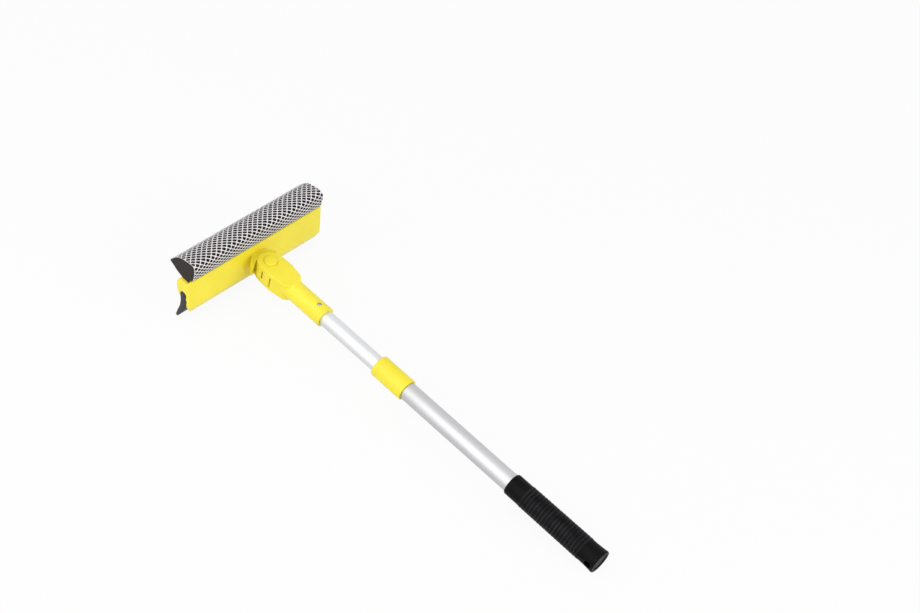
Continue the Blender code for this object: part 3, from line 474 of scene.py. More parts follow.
def smooth_through(points):
    """A smooth open line through the points, with extra points between them."""
    ends = [points[0]] + list(points) + [points[-1]]
    line = []
    for index in range(1, len(ends) - 2):
        before, start, end, after = (Vector(ends[index + k]) for k in (-1, 0, 1, 2))
        slope = end - before
        bend = 2 * before - 5 * start + 4 * end - after
        twist = 3 * start - before - 3 * end + after
        for step in range(CURVE_STEPS):
            share = step / CURVE_STEPS
            line.append(tuple((2 * start + slope * share + bend * share ** 2 + twist * share ** 3) / 2))
    line.append(tuple(points[-1]))
    return line


def circle_outline(radius):
    angles = [2 * math.pi * step / ROUND_STEPS for step in range(ROUND_STEPS)]
    return [(radius * math.cos(angle), radius * math.sin(angle)) for angle in angles]


def quarter_turn():
    """Angles from 0 to 90 degrees, for a rounded edge or crown."""
    return [math.radians(90) * step / CORNER_STEPS for step in range(CORNER_STEPS + 1)]


def box_outline(low, high):
    return [(low[0], low[1]), (high[0], low[1]), (high[0], high[1]), (low[0], high[1])]


def toothed_outline(extra=0):
    """The button's ring of teeth, grown by extra all round."""
    tip = TOOTH_TIP_RADIUS + extra
    root = TOOTH_TIP_RADIUS - TOOTH_HEIGHT + extra
    pitch = 2 * math.pi / TOOTH_COUNT
    spread = extra / root
    points = []
    for tooth in range(TOOTH_COUNT):
        middle = pitch * tooth
        tip_half = pitch * TOOTH_TIP_SHARE / 2 + spread
        root_half = pitch * TOOTH_ROOT_SHARE / 2 + spread
        for radius, angle in ((root, -root_half), (tip, -tip_half), (tip, tip_half), (root, root_half)):
            points.append((radius * math.cos(middle + angle), radius * math.sin(middle + angle)))
    return points


# Sections of the head run along X, and its face is seen along Y
ACROSS_HEAD = Matrix(((0, 0, 1), (1, 0, 0), (0, 1, 0)))
FACING_BACK = Matrix(((1, 0, 0), (0, 0, -1), (0, 1, 0)))
TOWARDS_GRIP = Vector((0, -1, 0))
UP = Vector((0, 0, 1))
SIDEWAYS = Vector((1, 0, 0))


# Finishes

class Value:
    """A socket in a node tree, so that arithmetic on it adds Math nodes."""

    def __init__(self, nodes, socket):
        self.nodes = nodes
        self.socket = socket

    def math(self, operation, first, second):
        return self.nodes.add("Math", {0: first, 1: second}, {"operation": operation})

    def __add__(self, other):
        return self.math("ADD", self, other)

    def __radd__(self, other):
        return self.math("ADD", other, self)

    def __sub__(self, other):
        return self.math("SUBTRACT", self, other)

    def __rsub__(self, other):
        return self.math("SUBTRACT", other, self)

    def __mul__(self, other):
        return self.math("MULTIPLY", self, other)

    def __rmul__(self, other):
        return self.math("MULTIPLY", other, self)

    def sine(self):
        return self.math("SINE", self, 0)


class Nodes:
    """A node tree that is built step by step."""

    def __init__(self, tree):
        self.tree = tree

    def add(self, kind, inputs, settings=None, output=0):
        """Adds a node: its settings first, then the values or links of its sockets, by name or number."""
        node = self.tree.nodes.new("ShaderNode" + kind)
        for name, value in (settings or {}).items():
            setattr(node, name, value)
        for name, value in inputs.items():
            if isinstance(value, Value):
                self.tree.links.new(value.socket, node.inputs[name])
            else:
                node.inputs[name].default_value = value
        return Value(self, node.outputs[output])


class Finish(Nodes):
    """A material: plain settings on its shader, then nodes that vary them."""

    def __init__(self, name, **plain):
        self.material = bpy.data.materials.new(name)
        self.material.use_nodes = True
        super().__init__(self.material.node_tree)
        self.shader = self.tree.nodes["Principled BSDF"]
        for socket, value in plain.items():
            self.shader.inputs[socket.replace("_", " ")].default_value = value
        self.place = self.add("TexCoord", {}, output="Object")

    def feed(self, **values):
        for socket, value in values.items():
            self.tree.links.new(value.socket, self.shader.inputs[socket.replace("_", " ")])

    def axis(self, index):
        """One of the three object coordinates."""
        return self.add("SeparateXYZ", {"Vector": self.place}, output=index)

    def stretched(self, scale):
        """Object coordinates for a pattern that is drawn out along an axis."""
        return self.add("Mapping", {"Vector": self.place, "Scale": scale})

    def noise(self, scale, detail=2.0, roughness=0.5, place=None):
        """Cloudy noise with about this many lumps in a metre."""
        inputs = {"Vector": place or self.place, "Scale": scale, "Detail": detail, "Roughness": roughness}
        return self.add("TexNoise", inputs)

    def cells(self, scale):
        """Round cells of mixed sizes, about this many in a metre."""
        return self.add("TexVoronoi", {"Vector": self.place, "Scale": scale})

    def step(self, value, low, high):
        """0 before low, 1 past high and an even slope between them."""
        return self.add("MapRange", {"Value": value, "From Min": low, "From Max": high})

    def mix(self, share, first, second):
        """A blend of two colours, at the Mix node's colour sockets."""
        return self.add("Mix", {"Factor": share, 6: first, 7: second}, {"data_type": "RGBA"}, output=2)

    def bump(self, height, depth, strength):
        return self.add("Bump", {"Height": height, "Distance": depth, "Strength": strength})


def yellow_plastic():
    """Glossy injection-moulded plastic: faint flow marks, a fine grain and soft scuffs."""
    finish = Finish("yellow_plastic", IOR=1.47, Specular_IOR_Level=0.40)
    flow = finish.noise(22.0, detail=3.0)
    scuffs = finish.noise(160.0, detail=5.0, roughness=0.65, place=finish.stretched((1.0, 0.35, 1.0)))
    grain = finish.noise(1900.0)
    colour = finish.mix(finish.step(flow, 0.3, 0.7), YELLOW_DEEP, YELLOW_LIGHT)
    finish.feed(
        Base_Color=finish.mix(finish.step(scuffs, 0.58, 0.80) * 0.2, colour, YELLOW_SCUFF),
        Roughness=0.33 + flow * 0.08 + finish.step(scuffs, 0.5, 0.8) * 0.12,
        Normal=finish.bump(grain * 0.5 + flow, depth=0.00008, strength=0.35),
    )
    return finish.material


def satin_aluminium(name, dark, light):
    """Drawn and anodised tube: fine lines along its length, faint rubs where the tubes slide."""
    finish = Finish(name, Metallic=1.0)
    lines = finish.noise(1.0, detail=3.0, roughness=0.6, place=finish.stretched((2600.0, 14.0, 2600.0)))
    rubs = finish.noise(34.0, detail=4.0, roughness=0.6, place=finish.stretched((1.0, 0.25, 1.0)))
    tone = finish.step(lines, 0.25, 0.75) * 0.6 + finish.step(rubs, 0.3, 0.7) * 0.4
    finish.feed(
        Base_Color=finish.mix(tone, dark, light),
        Roughness=0.44 + lines * 0.10 + rubs * 0.08,
        Normal=finish.bump(lines, depth=0.00002, strength=0.3),
    )
    return finish.material


def grip_rubber():
    """Black soft rubber: matt and finely grained, with the crest of each rib painted greyer where the dust
    noise is high, partly rubbed wear and partly a painted highlight.
    """
    finish = Finish("grip_rubber", IOR=1.5, Specular_IOR_Level=0.06)
    grain = finish.noise(2400.0, detail=3.0)
    dust = finish.noise(90.0, detail=5.0, roughness=0.6)
    black = finish.mix(finish.step(dust, 0.35, 0.75), GRIP_BLACK, GRIP_DUST)
    turns = (PIVOT.y - GRIP_RIB_START_BACK - finish.axis(1)) * (1 / GRIP_RIB_PITCH)
    wave = (turns * math.pi).sine()
    ribs_start = finish.step(turns, 0, GRIP_RIB_FADE)
    ribs_end = finish.step(turns, GRIP_RIB_COUNT, GRIP_RIB_COUNT - GRIP_RIB_FADE)
    # Painted highlight: the crest of each rib is painted lighter, thinned by the dust noise, standing in for
    # crest glints as well as rubbing
    crest_highlights = finish.step(wave * wave, 0.3, 1.0) * (ribs_start * ribs_end)
    finish.feed(
        Base_Color=finish.mix(crest_highlights * finish.step(dust, 0.30, 0.62), black, GRIP_CREST_HIGHLIGHT),
        Roughness=0.38 + dust * 0.16,
        Normal=finish.bump(grain, depth=0.00006, strength=0.5),
    )
    return finish.material


def blade_rubber():
    """Smooth extruded rubber with faint lines along the head."""
    finish = Finish("blade_rubber", IOR=1.5, Specular_IOR_Level=0.35)
    lines = finish.noise(1.0, detail=3.0, roughness=0.6, place=finish.stretched((8.0, 1900.0, 1900.0)))
    bloom = finish.noise(60.0, detail=4.0)
    finish.feed(
        Base_Color=finish.mix(bloom, BLADE_DARK, BLADE_BLOOM),
        Roughness=0.38 + bloom * 0.16,
        Normal=finish.bump(lines, depth=0.00005, strength=0.5),
    )
    return finish.material


def dark_foam():
    """Open-cell foam: round pores of mixed sizes between thin matt walls, painted darker under the net as
    painted shade of the net, and lighter and dustier on its cut ends.
    """
    finish = Finish("dark_foam", Roughness=0.95, IOR=1.4, Specular_IOR_Level=0.2)
    dust = finish.noise(260.0)
    small_pores = finish.step(finish.cells(950.0), 0.15, 0.55)
    large_pores = finish.step(finish.cells(420.0), 0.12, 0.5)
    wall = small_pores * 0.6 + large_pores * 0.4
    along = finish.axis(0)
    half = SPONGE_LENGTH / 2
    cut_end = finish.step(along * along, (half - SPONGE_END_ROUND) ** 2, (half - FIT) ** 2)
    # Painted shade: the foam under the net gets the darker colours, the cut ends the lighter ones with dust
    net_shaded_skin = finish.mix(wall, NET_SHADED_FOAM_PORE, NET_SHADED_FOAM_WALL)
    end = finish.mix(dust * 0.4, finish.mix(wall, CUT_FOAM_PORE, CUT_FOAM_WALL), CUT_FOAM_DUST)
    finish.feed(
        Base_Color=finish.mix(cut_end, net_shaded_skin, end),
        Normal=finish.bump(wall, depth=0.0005, strength=0.8),
    )
    return finish.material


def net_yarn():
    """White knitted yarn: fine twisted fibres along the strands, greyer towards where it meets the lip."""
    finish = Finish("net_yarn", Roughness=0.72, IOR=1.45, Sheen_Weight=0.15, Sheen_Roughness=0.5)
    fibres = finish.noise(1.0, detail=3.0, roughness=0.7, place=finish.stretched((3800.0, 1400.0, 3800.0)))
    wear = finish.noise(70.0, detail=4.0)
    colour = finish.mix(finish.step(wear, 0.3, 0.75), YARN_WHITE, YARN_WORN)
    lip = PIVOT.z + LIP_TOP_Z
    # Greyer within a few millimetres above the lip's top
    by_lip = finish.step(finish.axis(2), lip + NET_LIP_GREY_REACH, lip)
    colour = finish.mix(by_lip * 0.6, colour, YARN_LIP_GREY)
    finish.feed(
        Base_Color=finish.mix(finish.step(fibres, 0.3, 0.7) * 0.35, colour, YARN_FIBRE),
        Normal=finish.bump(fibres, depth=0.00012, strength=0.7),
    )
    return finish.material


def zinc_steel():
    """Zinc-plated steel: fine crystals in cooler and lighter greys."""
    finish = Finish("zinc_steel", Metallic=1.0)
    crystals = finish.noise(700.0, detail=4.0, roughness=0.7)
    finish.feed(
        Base_Color=finish.mix(crystals, ZINC_DARK, ZINC_LIGHT),
        Roughness=0.24 + crystals * 0.22,
        Normal=finish.bump(crystals, depth=0.00002, strength=0.4),
    )
    return finish.material


def grey_plastic():
    """Plain mid-grey plastic of the hidden plugs, with a fine moulded grain."""
    finish = Finish("grey_plastic", IOR=1.47)
    grain = finish.noise(1600.0, detail=3.0)
    flow = finish.noise(40.0, detail=3.0)
    finish.feed(
        Base_Color=finish.mix(flow, PLUG_DARK, PLUG_LIGHT),
        Roughness=0.42 + grain * 0.16,
        Normal=finish.bump(grain, depth=0.00005, strength=0.5),
    )
    return finish.material


# Head

def head_outline():
    lip_front = LIP_BACK_Y + LIP_THICKNESS
    back, front = CHANNEL_BACK_Y, CHANNEL_BACK_Y + CHANNEL_WIDTH
    shoulder_z = CHANNEL_ROOF_Z - CHANNEL_DEPTH
    lip_z = shoulder_z - CHANNEL_LIP_DROP
    return rounded([
        (LIP_BACK_Y, LIP_TOP_Z, LIP_ROUND),
        (WALL_FOOT_Y, WALL_FOOT_Z, WALL_FOOT_ROUND),
        (WALL_HEEL_Y, WALL_HEEL_Z, WALL_HEEL_ROUND),
        (WALL_FRONT_Y, WALL_BOTTOM_Z, WALL_EDGE_ROUND),
        (WALL_FRONT_Y, lip_z - CHANNEL_LIP_DROP, CHANNEL_LIP),
        (back + CHANNEL_LIP, lip_z, 0),
        (back, shoulder_z, 0),
        (back, CHANNEL_ROOF_Z, CHANNEL_ROUND),
        (front, CHANNEL_ROOF_Z, CHANNEL_ROUND),
        (front, shoulder_z, 0),
        (front - CHANNEL_LIP, lip_z, 0),
        (front - CHANNEL_LIP + FRONT_LIP_THICKNESS, lip_z, LIP_ROUND),
        (NOSE_Y, NOSE_LOW_Z, NOSE_ROUND),
        (NOSE_Y, NOSE_TOP_Z, NOSE_ROUND),
        (TRAY_FRONT_Y, TRAY_Z, TRAY_ROUND),
        (lip_front, TRAY_Z, 0),
        (lip_front, LIP_TOP_Z, LIP_ROUND),
    ])


def head_face_outline():
    half = HEAD_LENGTH / 2
    return rounded([
        (-half, WALL_BOTTOM_Z, WALL_CORNER_ROUND), (half, WALL_BOTTOM_Z, WALL_CORNER_ROUND),
        (half, LIP_TOP_Z + OVERRUN, 0), (-half, LIP_TOP_Z + OVERRUN, 0),
    ])


def stop_outline(side):
    """The strip that the knuckle's flat side sweeps to at one limit of the swivel."""
    half = KNUCKLE_HALF_WIDTH + FIT
    strip = box_outline((-half, -KNUCKLE_END_BACK), (half, 0))
    turn = Matrix.Rotation(side * SWIVEL_STOP, 2)
    return [tuple(turn @ Vector(point)) for point in strip]


def cradle():
    """The half ring behind the wall: an oval that sinks into it, hollowed for the knuckle's round front."""
    oval = [(x, y * CRADLE_REACH_SHARE) for x, y in circle_outline(CRADLE_RADIUS)]
    body = section("cradle", oval, CRADLE_BOTTOM_Z, CRADLE_TOP_Z)
    soften(body, CRADLE_BLEND, CRADLE_SMOOTHINGS)
    low, high = CRADLE_BOTTOM_Z - OVERRUN, CRADLE_TOP_Z + OVERRUN
    wide = CRADLE_RADIUS + OVERRUN
    carve(body, section("hollow", circle_outline(KNUCKLE_ROUND + SNUG), low, high))
    behind = -wide * CRADLE_REACH_SHARE
    carve(body, section("end", box_outline((-wide, behind), (wide, CRADLE_END_Y)), low, high))
    for side in (-1, 1):
        carve(body, section("stop", stop_outline(side), low, high))
    return body


def tongue_outline():
    """A disc with a wider rim in front, which fills the knuckle's fork and stops short of its slots."""
    reach = KNUCKLE_ROUND - FIT
    points = []
    for x, y in circle_outline(reach):
        share = 1 if y >= TONGUE_RIM_Y else TONGUE_CORE_RADIUS / reach
        points.append((x * share, y * share))
    return points


def head_moulding(finish):
    """The wall with its tray and channel, joined by the cradle and by the tongue that holds the teeth."""
    half = HEAD_LENGTH / 2
    head = section("head_moulding", head_outline(), -half, half, ACROSS_HEAD)
    keep = section("face", head_face_outline(), -NOSE_Y - OVERRUN, OVERRUN, FACING_BACK)
    carve(head, keep, "INTERSECT")
    ease_sharp_edges(head, HEAD_END_ROUND, angle=STEEP_EDGE_ANGLE)
    carve(head, cradle(), "UNION")
    inside = (WALL_FRONT_Y + WALL_FOOT_Y) / 2
    neck = box_outline((-NECK_HALF_WIDTH, 0), (NECK_HALF_WIDTH, inside))
    carve(head, section("tongue", tongue_outline(), TONGUE_BOTTOM_Z, TONGUE_TOP_Z), "UNION")
    carve(head, section("neck", neck, TONGUE_BOTTOM_Z, TONGUE_TOP_Z), "UNION")
    floor_z = BUTTON_BOTTOM_Z - BUTTON_TRAVEL - 2 * FIT
    carve(head, section("teeth", toothed_outline(FIT), floor_z, TONGUE_TOP_Z + OVERRUN))
    bore = circle_outline(PLUG_RADIUS + FIT)
    carve(head, section("bore", bore, TONGUE_BOTTOM_Z - OVERRUN, floor_z + OVERRUN))
    return finish_piece(head, "head", finish, "yellow_plastic", "head_frame")


def blade_outline():
    back, front = CHANNEL_BACK_Y + FIT, CHANNEL_BACK_Y + CHANNEL_WIDTH - FIT
    top = CHANNEL_ROOF_Z - FIT
    shoulder_z = CHANNEL_ROOF_Z - CHANNEL_DEPTH + FIT
    neck_back, neck_front = back + CHANNEL_LIP, front - CHANNEL_LIP
    neck_z = CHANNEL_ROOF_Z - CHANNEL_DEPTH - CHANNEL_LIP_DROP
    drop = BLADE_TIP_Z - neck_z
    tip_back = neck_front + BLADE_FLICK - BLADE_TIP_WIDTH
    front_side = [(neck_front + y * BLADE_FLICK, neck_z + z * drop) for y, z in BLADE_FRONT_SHARES]
    lean = tip_back - neck_back
    rear_side = [(tip_back, BLADE_TIP_Z)]
    rear_side += [(neck_back + y * lean, neck_z + z * drop) for y, z in BLADE_REAR_SHARES]
    bead = rounded([
        (neck_back, neck_z, 0), (back, shoulder_z, 0), (back, top, BLADE_BEAD_ROUND),
        (front, top, BLADE_BEAD_ROUND), (front, shoulder_z, 0), (neck_front, neck_z, 0),
    ])
    return bead + smooth_through(front_side) + smooth_through(rear_side)


def blade_strip(finish):
    half = HEAD_LENGTH / 2
    blade = section("blade_strip", blade_outline(), -half, half, ACROSS_HEAD)
    ease_sharp_edges(blade, BLADE_EDGE_ROUND, 2, STEEP_EDGE_ANGLE)
    return finish_piece(blade, "head", finish, "blade_rubber", "rubber_blade")


# Sponge and net

def sponge_foot_y():
    return LIP_BACK_Y + LIP_THICKNESS + NET_ROOM + 2 * FIT


def sponge_place(shares):
    back_y = sponge_foot_y() - SPONGE_BULGE
    seat_z = TRAY_Z + FIT
    return [(back_y + y * SPONGE_DEPTH, seat_z + z * SPONGE_HEIGHT) for y, z in shares]


def sponge_crown():
    foot = [(sponge_foot_y(), TRAY_Z + FIT), (sponge_foot_y(), LIP_TOP_Z)]
    return smooth_through(foot + sponge_place(SPONGE_CROWN_SHARES))


def sponge_under():
    shares = SPONGE_CROWN_SHARES[-1:] + SPONGE_UNDER_SHARES + SPONGE_SEAT_SHARES[:1]
    return smooth_through(sponge_place(shares))


def foam_block(finish):
    half = SPONGE_LENGTH / 2
    outline = sponge_crown() + sponge_under()[1:] + sponge_place(SPONGE_SEAT_SHARES[1:])
    foam = section("foam_block", outline, -half, half, ACROSS_HEAD)
    ease_sharp_edges(foam, SPONGE_END_ROUND, angle=STEEP_EDGE_ANGLE)
    finish_piece(foam, "head", finish, "dark_foam", "sponge_core")
    return foam


class Arc:
    """A line of points read by the distance along it."""

    def __init__(self, points):
        self.points = [Vector(point) for point in points]
        self.marks = [0.0]
        for start, end in zip(self.points, self.points[1:]):
            self.marks.append(self.marks[-1] + (end - start).length)

    def length(self):
        return self.marks[-1]

    def read(self, distance):
        """The place and the outward direction at a distance along the line."""
        index = 1
        while index < len(self.marks) - 1 and self.marks[index] < distance:
            index += 1
        start, end = self.points[index - 1], self.points[index]
        span = self.marks[index] - self.marks[index - 1]
        share = (distance - self.marks[index - 1]) / span
        along = (end - start).normalized()
        return start.lerp(end, share), Vector((-along.y, along.x))


def flat_net(width, height):
    """The net laid flat: diamond holes between strands, trimmed to a width and height round the origin."""
    lean_room = abs(NET_LEAN) * height + width
    columns = math.ceil(lean_room / NET_PITCH_ALONG) + NET_SPARE_COLUMNS
    rows = math.ceil((height + abs(NET_ROW_SLOPE) * lean_room) / NET_PITCH_ACROSS) + NET_SPARE_ROWS
    pick_nothing()
    bpy.ops.mesh.primitive_grid_add(x_subdivisions=columns, y_subdivisions=rows, size=1)
    net = bpy.context.object
    net.name = "yarn_net"
    size = (columns * NET_PITCH_ALONG, rows * NET_PITCH_ACROSS, 1)
    edit(net)
    bpy.ops.mesh.select_all(action="SELECT")
    bpy.ops.transform.resize(value=size, center_override=(0, 0, 0))
    corners = len(net.data.vertices)

    def is_grid_line(edge):
        return all(vertex.index < corners for vertex in edge.verts) and not edge.is_boundary

    bpy.ops.mesh.poke()
    bpy.ops.mesh.select_mode(type="EDGE")
    select_where(net, "edges", is_grid_line)
    bpy.ops.mesh.dissolve_edges(use_verts=False)
    leave_edit()
    for vertex in net.data.vertices:
        x, y, _ = vertex.co
        vertex.co = (x + NET_LEAN * y, y + NET_ROW_SLOPE * x, 0)
    trim(net, width, height)
    open_holes(net)
    return net


def trim(net, width, height):
    """Cuts the flat net to its rectangle."""
    edit(net)
    for axis, reach in ((0, width / 2), (1, height / 2)):
        for side in (-1, 1):
            place, facing = [0, 0, 0], [0, 0, 0]
            place[axis] = side * reach
            facing[axis] = side
            bpy.ops.mesh.select_all(action="SELECT")
            bpy.ops.mesh.bisect(plane_co=place, plane_no=facing, clear_outer=True)
    leave_edit()


def open_holes(net):
    """Insets each cell by half a strand, takes its middle out and softens the holes' corners.

    Slivers at the net's edges stay closed.
    """
    edit(net, "FACE")
    select_where(net, "faces", lambda face: face.calc_area() > NET_SMALLEST_HOLE)
    bpy.ops.mesh.inset(thickness=NET_STRAND_HALF_WIDTH, use_individual=True, use_boundary=True)
    bpy.ops.mesh.delete(type="FACE")
    bpy.ops.mesh.select_all(action="SELECT")
    bpy.ops.mesh.subdivide(number_cuts=1)
    bpy.ops.mesh.vertices_smooth(factor=NET_CORNER_SOFTENING)
    leave_edit()


def stretched_reach(share):
    """Where a share of the flat net lies on the sponge: it is stretched most over the crown."""
    return share - NET_CROWN_STRETCH * math.sin(2 * math.pi * share) / (2 * math.pi)


def yarn_net(finish):
    """Solid strands wrapped over the sponge, from its foot behind the lip to just under its front edge."""
    crown, under = sponge_crown(), sponge_under()
    reach = Arc(crown).length() + NET_UNDER_LENGTH
    line = Arc(crown + under[1:])
    net = flat_net(SPONGE_LENGTH, reach)
    apply_modifier(net, "SOLIDIFY", thickness=NET_THICKNESS, offset=0.0)
    for vertex in net.data.vertices:
        x, y, height = vertex.co
        place, outward = line.read(stretched_reach(y / reach + 0.5) * reach)
        lifted = place + outward * (height + NET_LIFT)
        vertex.co = PIVOT + Vector((x, lifted.x, lifted.y))
    make_consistent(net)
    finish_piece(net, "head", finish, "white_net", "net_cover")
    return net


# Swivel knuckle and what it holds

def knuckle_outline():
    """Seen from above: round at the head, widest at the slots, then narrowing to the socket."""
    front = circle_outline(KNUCKLE_ROUND)[:ROUND_STEPS // 2 + 1]
    left = rounded([
        (-KNUCKLE_ROUND, 0, 0),
        (-KNUCKLE_HALF_WIDTH, -KNUCKLE_WIDE_BACK, KNUCKLE_SHOULDER_ROUND),
        (-KNUCKLE_HALF_WIDTH, -KNUCKLE_STRAIGHT_BACK, KNUCKLE_SIDE_ROUND),
        (-KNUCKLE_NARROW_HALF_WIDTH, -KNUCKLE_NARROW_BACK, KNUCKLE_NECK_ROUND),
        (-KNUCKLE_END_HALF_WIDTH, -KNUCKLE_END_BACK, KNUCKLE_END_ROUND),
        (0, -KNUCKLE_END_BACK, 0),
    ])[1:-1]
    right = [(-x, y) for x, y in reversed(left)]
    return front + left + right


def knuckle_body():
    """The flat body blended into its round socket, with a low ledge in front."""
    body = section("knuckle_moulding", knuckle_outline(), KNUCKLE_BOTTOM_Z, KNUCKLE_TOP_Z)
    socket = [(SOCKET_START_BACK, SOCKET_RADIUS), (SOCKET_MOUTH_BACK + OVERRUN, SOCKET_RADIUS)]
    carve(body, turned("socket", socket, PIVOT, TOWARDS_GRIP), "UNION")
    soften(body, KNUCKLE_BLEND, KNUCKLE_SMOOTHINGS)
    ledge = [(x, y) for x, y in circle_outline(LEDGE_RADIUS) if y >= LEDGE_START_Y]
    carve(body, section("ledge", ledge, LEDGE_BOTTOM_Z, LEDGE_TOP_Z), "UNION")
    wide = KNUCKLE_HALF_WIDTH + OVERRUN
    mouth = box_outline((-wide, -SOCKET_MOUTH_BACK - 2 * OVERRUN), (wide, -SOCKET_MOUTH_BACK))
    carve(body, section("mouth", mouth, -wide, wide))
    return body


def cut_fork(knuckle):
    """The room for the head's tongue, and over it the seat of the button's teeth."""
    wide = KNUCKLE_HALF_WIDTH + OVERRUN
    opening = box_outline((-wide, -FORK_OPENING_BACK), (wide, wide))
    carve(knuckle, section("fork", opening, FORK_BOTTOM_Z, FORK_TOP_Z))
    carve(knuckle, section("fork_round", circle_outline(KNUCKLE_ROUND), FORK_BOTTOM_Z, FORK_TOP_Z))
    teeth = section("teeth", toothed_outline(FIT), FORK_TOP_Z - OVERRUN, TOOTH_RING_TOP_Z + FIT)
    carve(knuckle, teeth)


def cut_swivel_holes(knuckle):
    """The button's hole in its shallow dish, and the plug's hole below."""
    hole = BUTTON_RADIUS + SNUG
    dish_z = KNUCKLE_TOP_Z - DISH_DEPTH
    slope = (DISH_RADIUS - hole) / DISH_DEPTH
    dish = [(FORK_TOP_Z, hole), (dish_z, hole), (KNUCKLE_TOP_Z + OVERRUN, DISH_RADIUS + slope * OVERRUN)]
    carve(knuckle, turned("dish", dish, PIVOT, UP))
    plug = [(KNUCKLE_BOTTOM_Z - OVERRUN, PLUG_RADIUS + FIT), (FORK_TOP_Z - OVERRUN, PLUG_RADIUS + FIT)]
    carve(knuckle, turned("plug_hole", plug, PIVOT, UP))


def cut_socket(knuckle):
    """The inner tube's bore, and the seat of the screw that holds the tube."""
    tight = INNER_TUBE_RADIUS + SNUG
    bore = [(TUBE_STOP_BACK, tight), (SOCKET_MOUTH_BACK + OVERRUN, tight)]
    carve(knuckle, turned("bore", bore, PIVOT, TOWARDS_GRIP))
    shank, head = SOCKET_SCREW_RADIUS + FIT, SOCKET_SCREW_HEAD_RADIUS + FIT
    seat_z = SOCKET_SCREW_HEAD_Z - FIT
    seat = [(0, shank), (seat_z, shank), (seat_z, head), (SOCKET_RADIUS + OVERRUN, head)]
    carve(knuckle, turned("seat", seat, at(0, -SOCKET_SCREW_BACK, 0), UP, SMALL_ROUND_STEPS))


def cut_side_slots(knuckle):
    slots = ((FORK_OPENING_BACK, FRONT_SLOT_BOTTOM_Z), (REAR_SLOT_BACK, REAR_SLOT_BOTTOM_Z))
    for side in (-1, 1):
        inner = side * (KNUCKLE_HALF_WIDTH - SLOT_DEPTH)
        outer = side * (KNUCKLE_HALF_WIDTH + OVERRUN)
        for back, bottom_z in slots:
            low = (min(inner, outer), -back - SLOT_WIDTH)
            high = (max(inner, outer), -back)
            carve(knuckle, section("slot", box_outline(low, high), bottom_z, SLOT_TOP_Z))


def knuckle_moulding(finish):
    knuckle = knuckle_body()
    cut_fork(knuckle)
    cut_swivel_holes(knuckle)
    cut_socket(knuckle)
    cut_side_slots(knuckle)
    return finish_piece(knuckle, "inner_pole", finish, "yellow_plastic", "swivel_knuckle")


def push_button(finish):
    edge_z, edge_radius = BUTTON_TOP_Z - BUTTON_ROUND, BUTTON_RADIUS - BUTTON_ROUND
    arc = [
        (edge_z + BUTTON_ROUND * math.sin(angle), edge_radius + BUTTON_ROUND * math.cos(angle))
        for angle in quarter_turn()
    ]
    dome = [
        (BUTTON_TOP_Z + BUTTON_DOME * (1 - share ** 2), edge_radius * share) for share in BUTTON_DOME_SHARES
    ]
    profile = [(TOOTH_RING_TOP_Z - OVERRUN, BUTTON_RADIUS)] + arc + dome
    button = turned("push_button", profile, PIVOT, UP)
    ring = section("ring", toothed_outline(), BUTTON_BOTTOM_Z, TOOTH_RING_TOP_Z)
    carve(button, ring, "UNION")
    return finish_piece(button, "button", finish, "yellow_plastic", "lock_button")


def cut_cross(screw, radius, face, into, centre):
    """A cross recess in a screw's head."""
    reach, half = radius * SCREW_CROSS_SHARE, SCREW_CROSS_WIDTH / 2
    low, high = sorted((face - into * OVERRUN, face + into * SCREW_CROSS_DEPTH))
    for x, y in ((reach, half), (half, reach)):
        outline = box_outline((centre.x - x, centre.y - y), (centre.x + x, centre.y + y))
        carve(screw, section("cross", outline, low, high))


def socket_cross_screw(finish):
    radius, height = SOCKET_SCREW_HEAD_RADIUS, SOCKET_SCREW_HEAD_HEIGHT
    base = SOCKET_SCREW_HEAD_Z
    tip = base - SOCKET_SCREW_LENGTH
    crown = [
        (base + height * math.sin(angle), radius * (1 - SCREW_CROWN_NARROWING * (1 - math.cos(angle))))
        for angle in quarter_turn()
    ]
    shank = [
        (tip, SOCKET_SCREW_RADIUS * SCREW_TIP_SHARE), (tip + SOCKET_SCREW_RADIUS, SOCKET_SCREW_RADIUS),
        (base, SOCKET_SCREW_RADIUS),
    ]
    centre = Vector((0, -SOCKET_SCREW_BACK, 0))
    screw = turned("socket_cross_screw", shank + crown, PIVOT + centre, UP, SMALL_ROUND_STEPS)
    cut_cross(screw, radius, base + height, -1, centre)
    return finish_piece(screw, "inner_pole", finish, "zinc_steel", "socket_screw")


def swivel_plug(finish):
    hole = PIVOT_SCREW_RADIUS + FIT
    profile = [
        (PLUG_TOP_Z, hole), (PLUG_TOP_Z, PLUG_RADIUS), (PLUG_FLANGE_TOP_Z, PLUG_RADIUS),
        (PLUG_FLANGE_TOP_Z, PLUG_FLANGE_RADIUS), (PLUG_FLANGE_BOTTOM_Z, PLUG_FLANGE_RADIUS),
        (PLUG_FLANGE_BOTTOM_Z, PLUG_SEAT_RADIUS), (PLUG_SEAT_Z, PLUG_SEAT_RADIUS), (PLUG_SEAT_Z, hole),
        (PLUG_TOP_Z, hole),
    ]
    plug = turned("swivel_plug", profile, PIVOT, UP, closed=True)
    ease_sharp_edges(plug, THIN_EDGE_ROUND, 2)
    return finish_piece(plug, "head", finish, "grey_plastic", "pivot_plug")


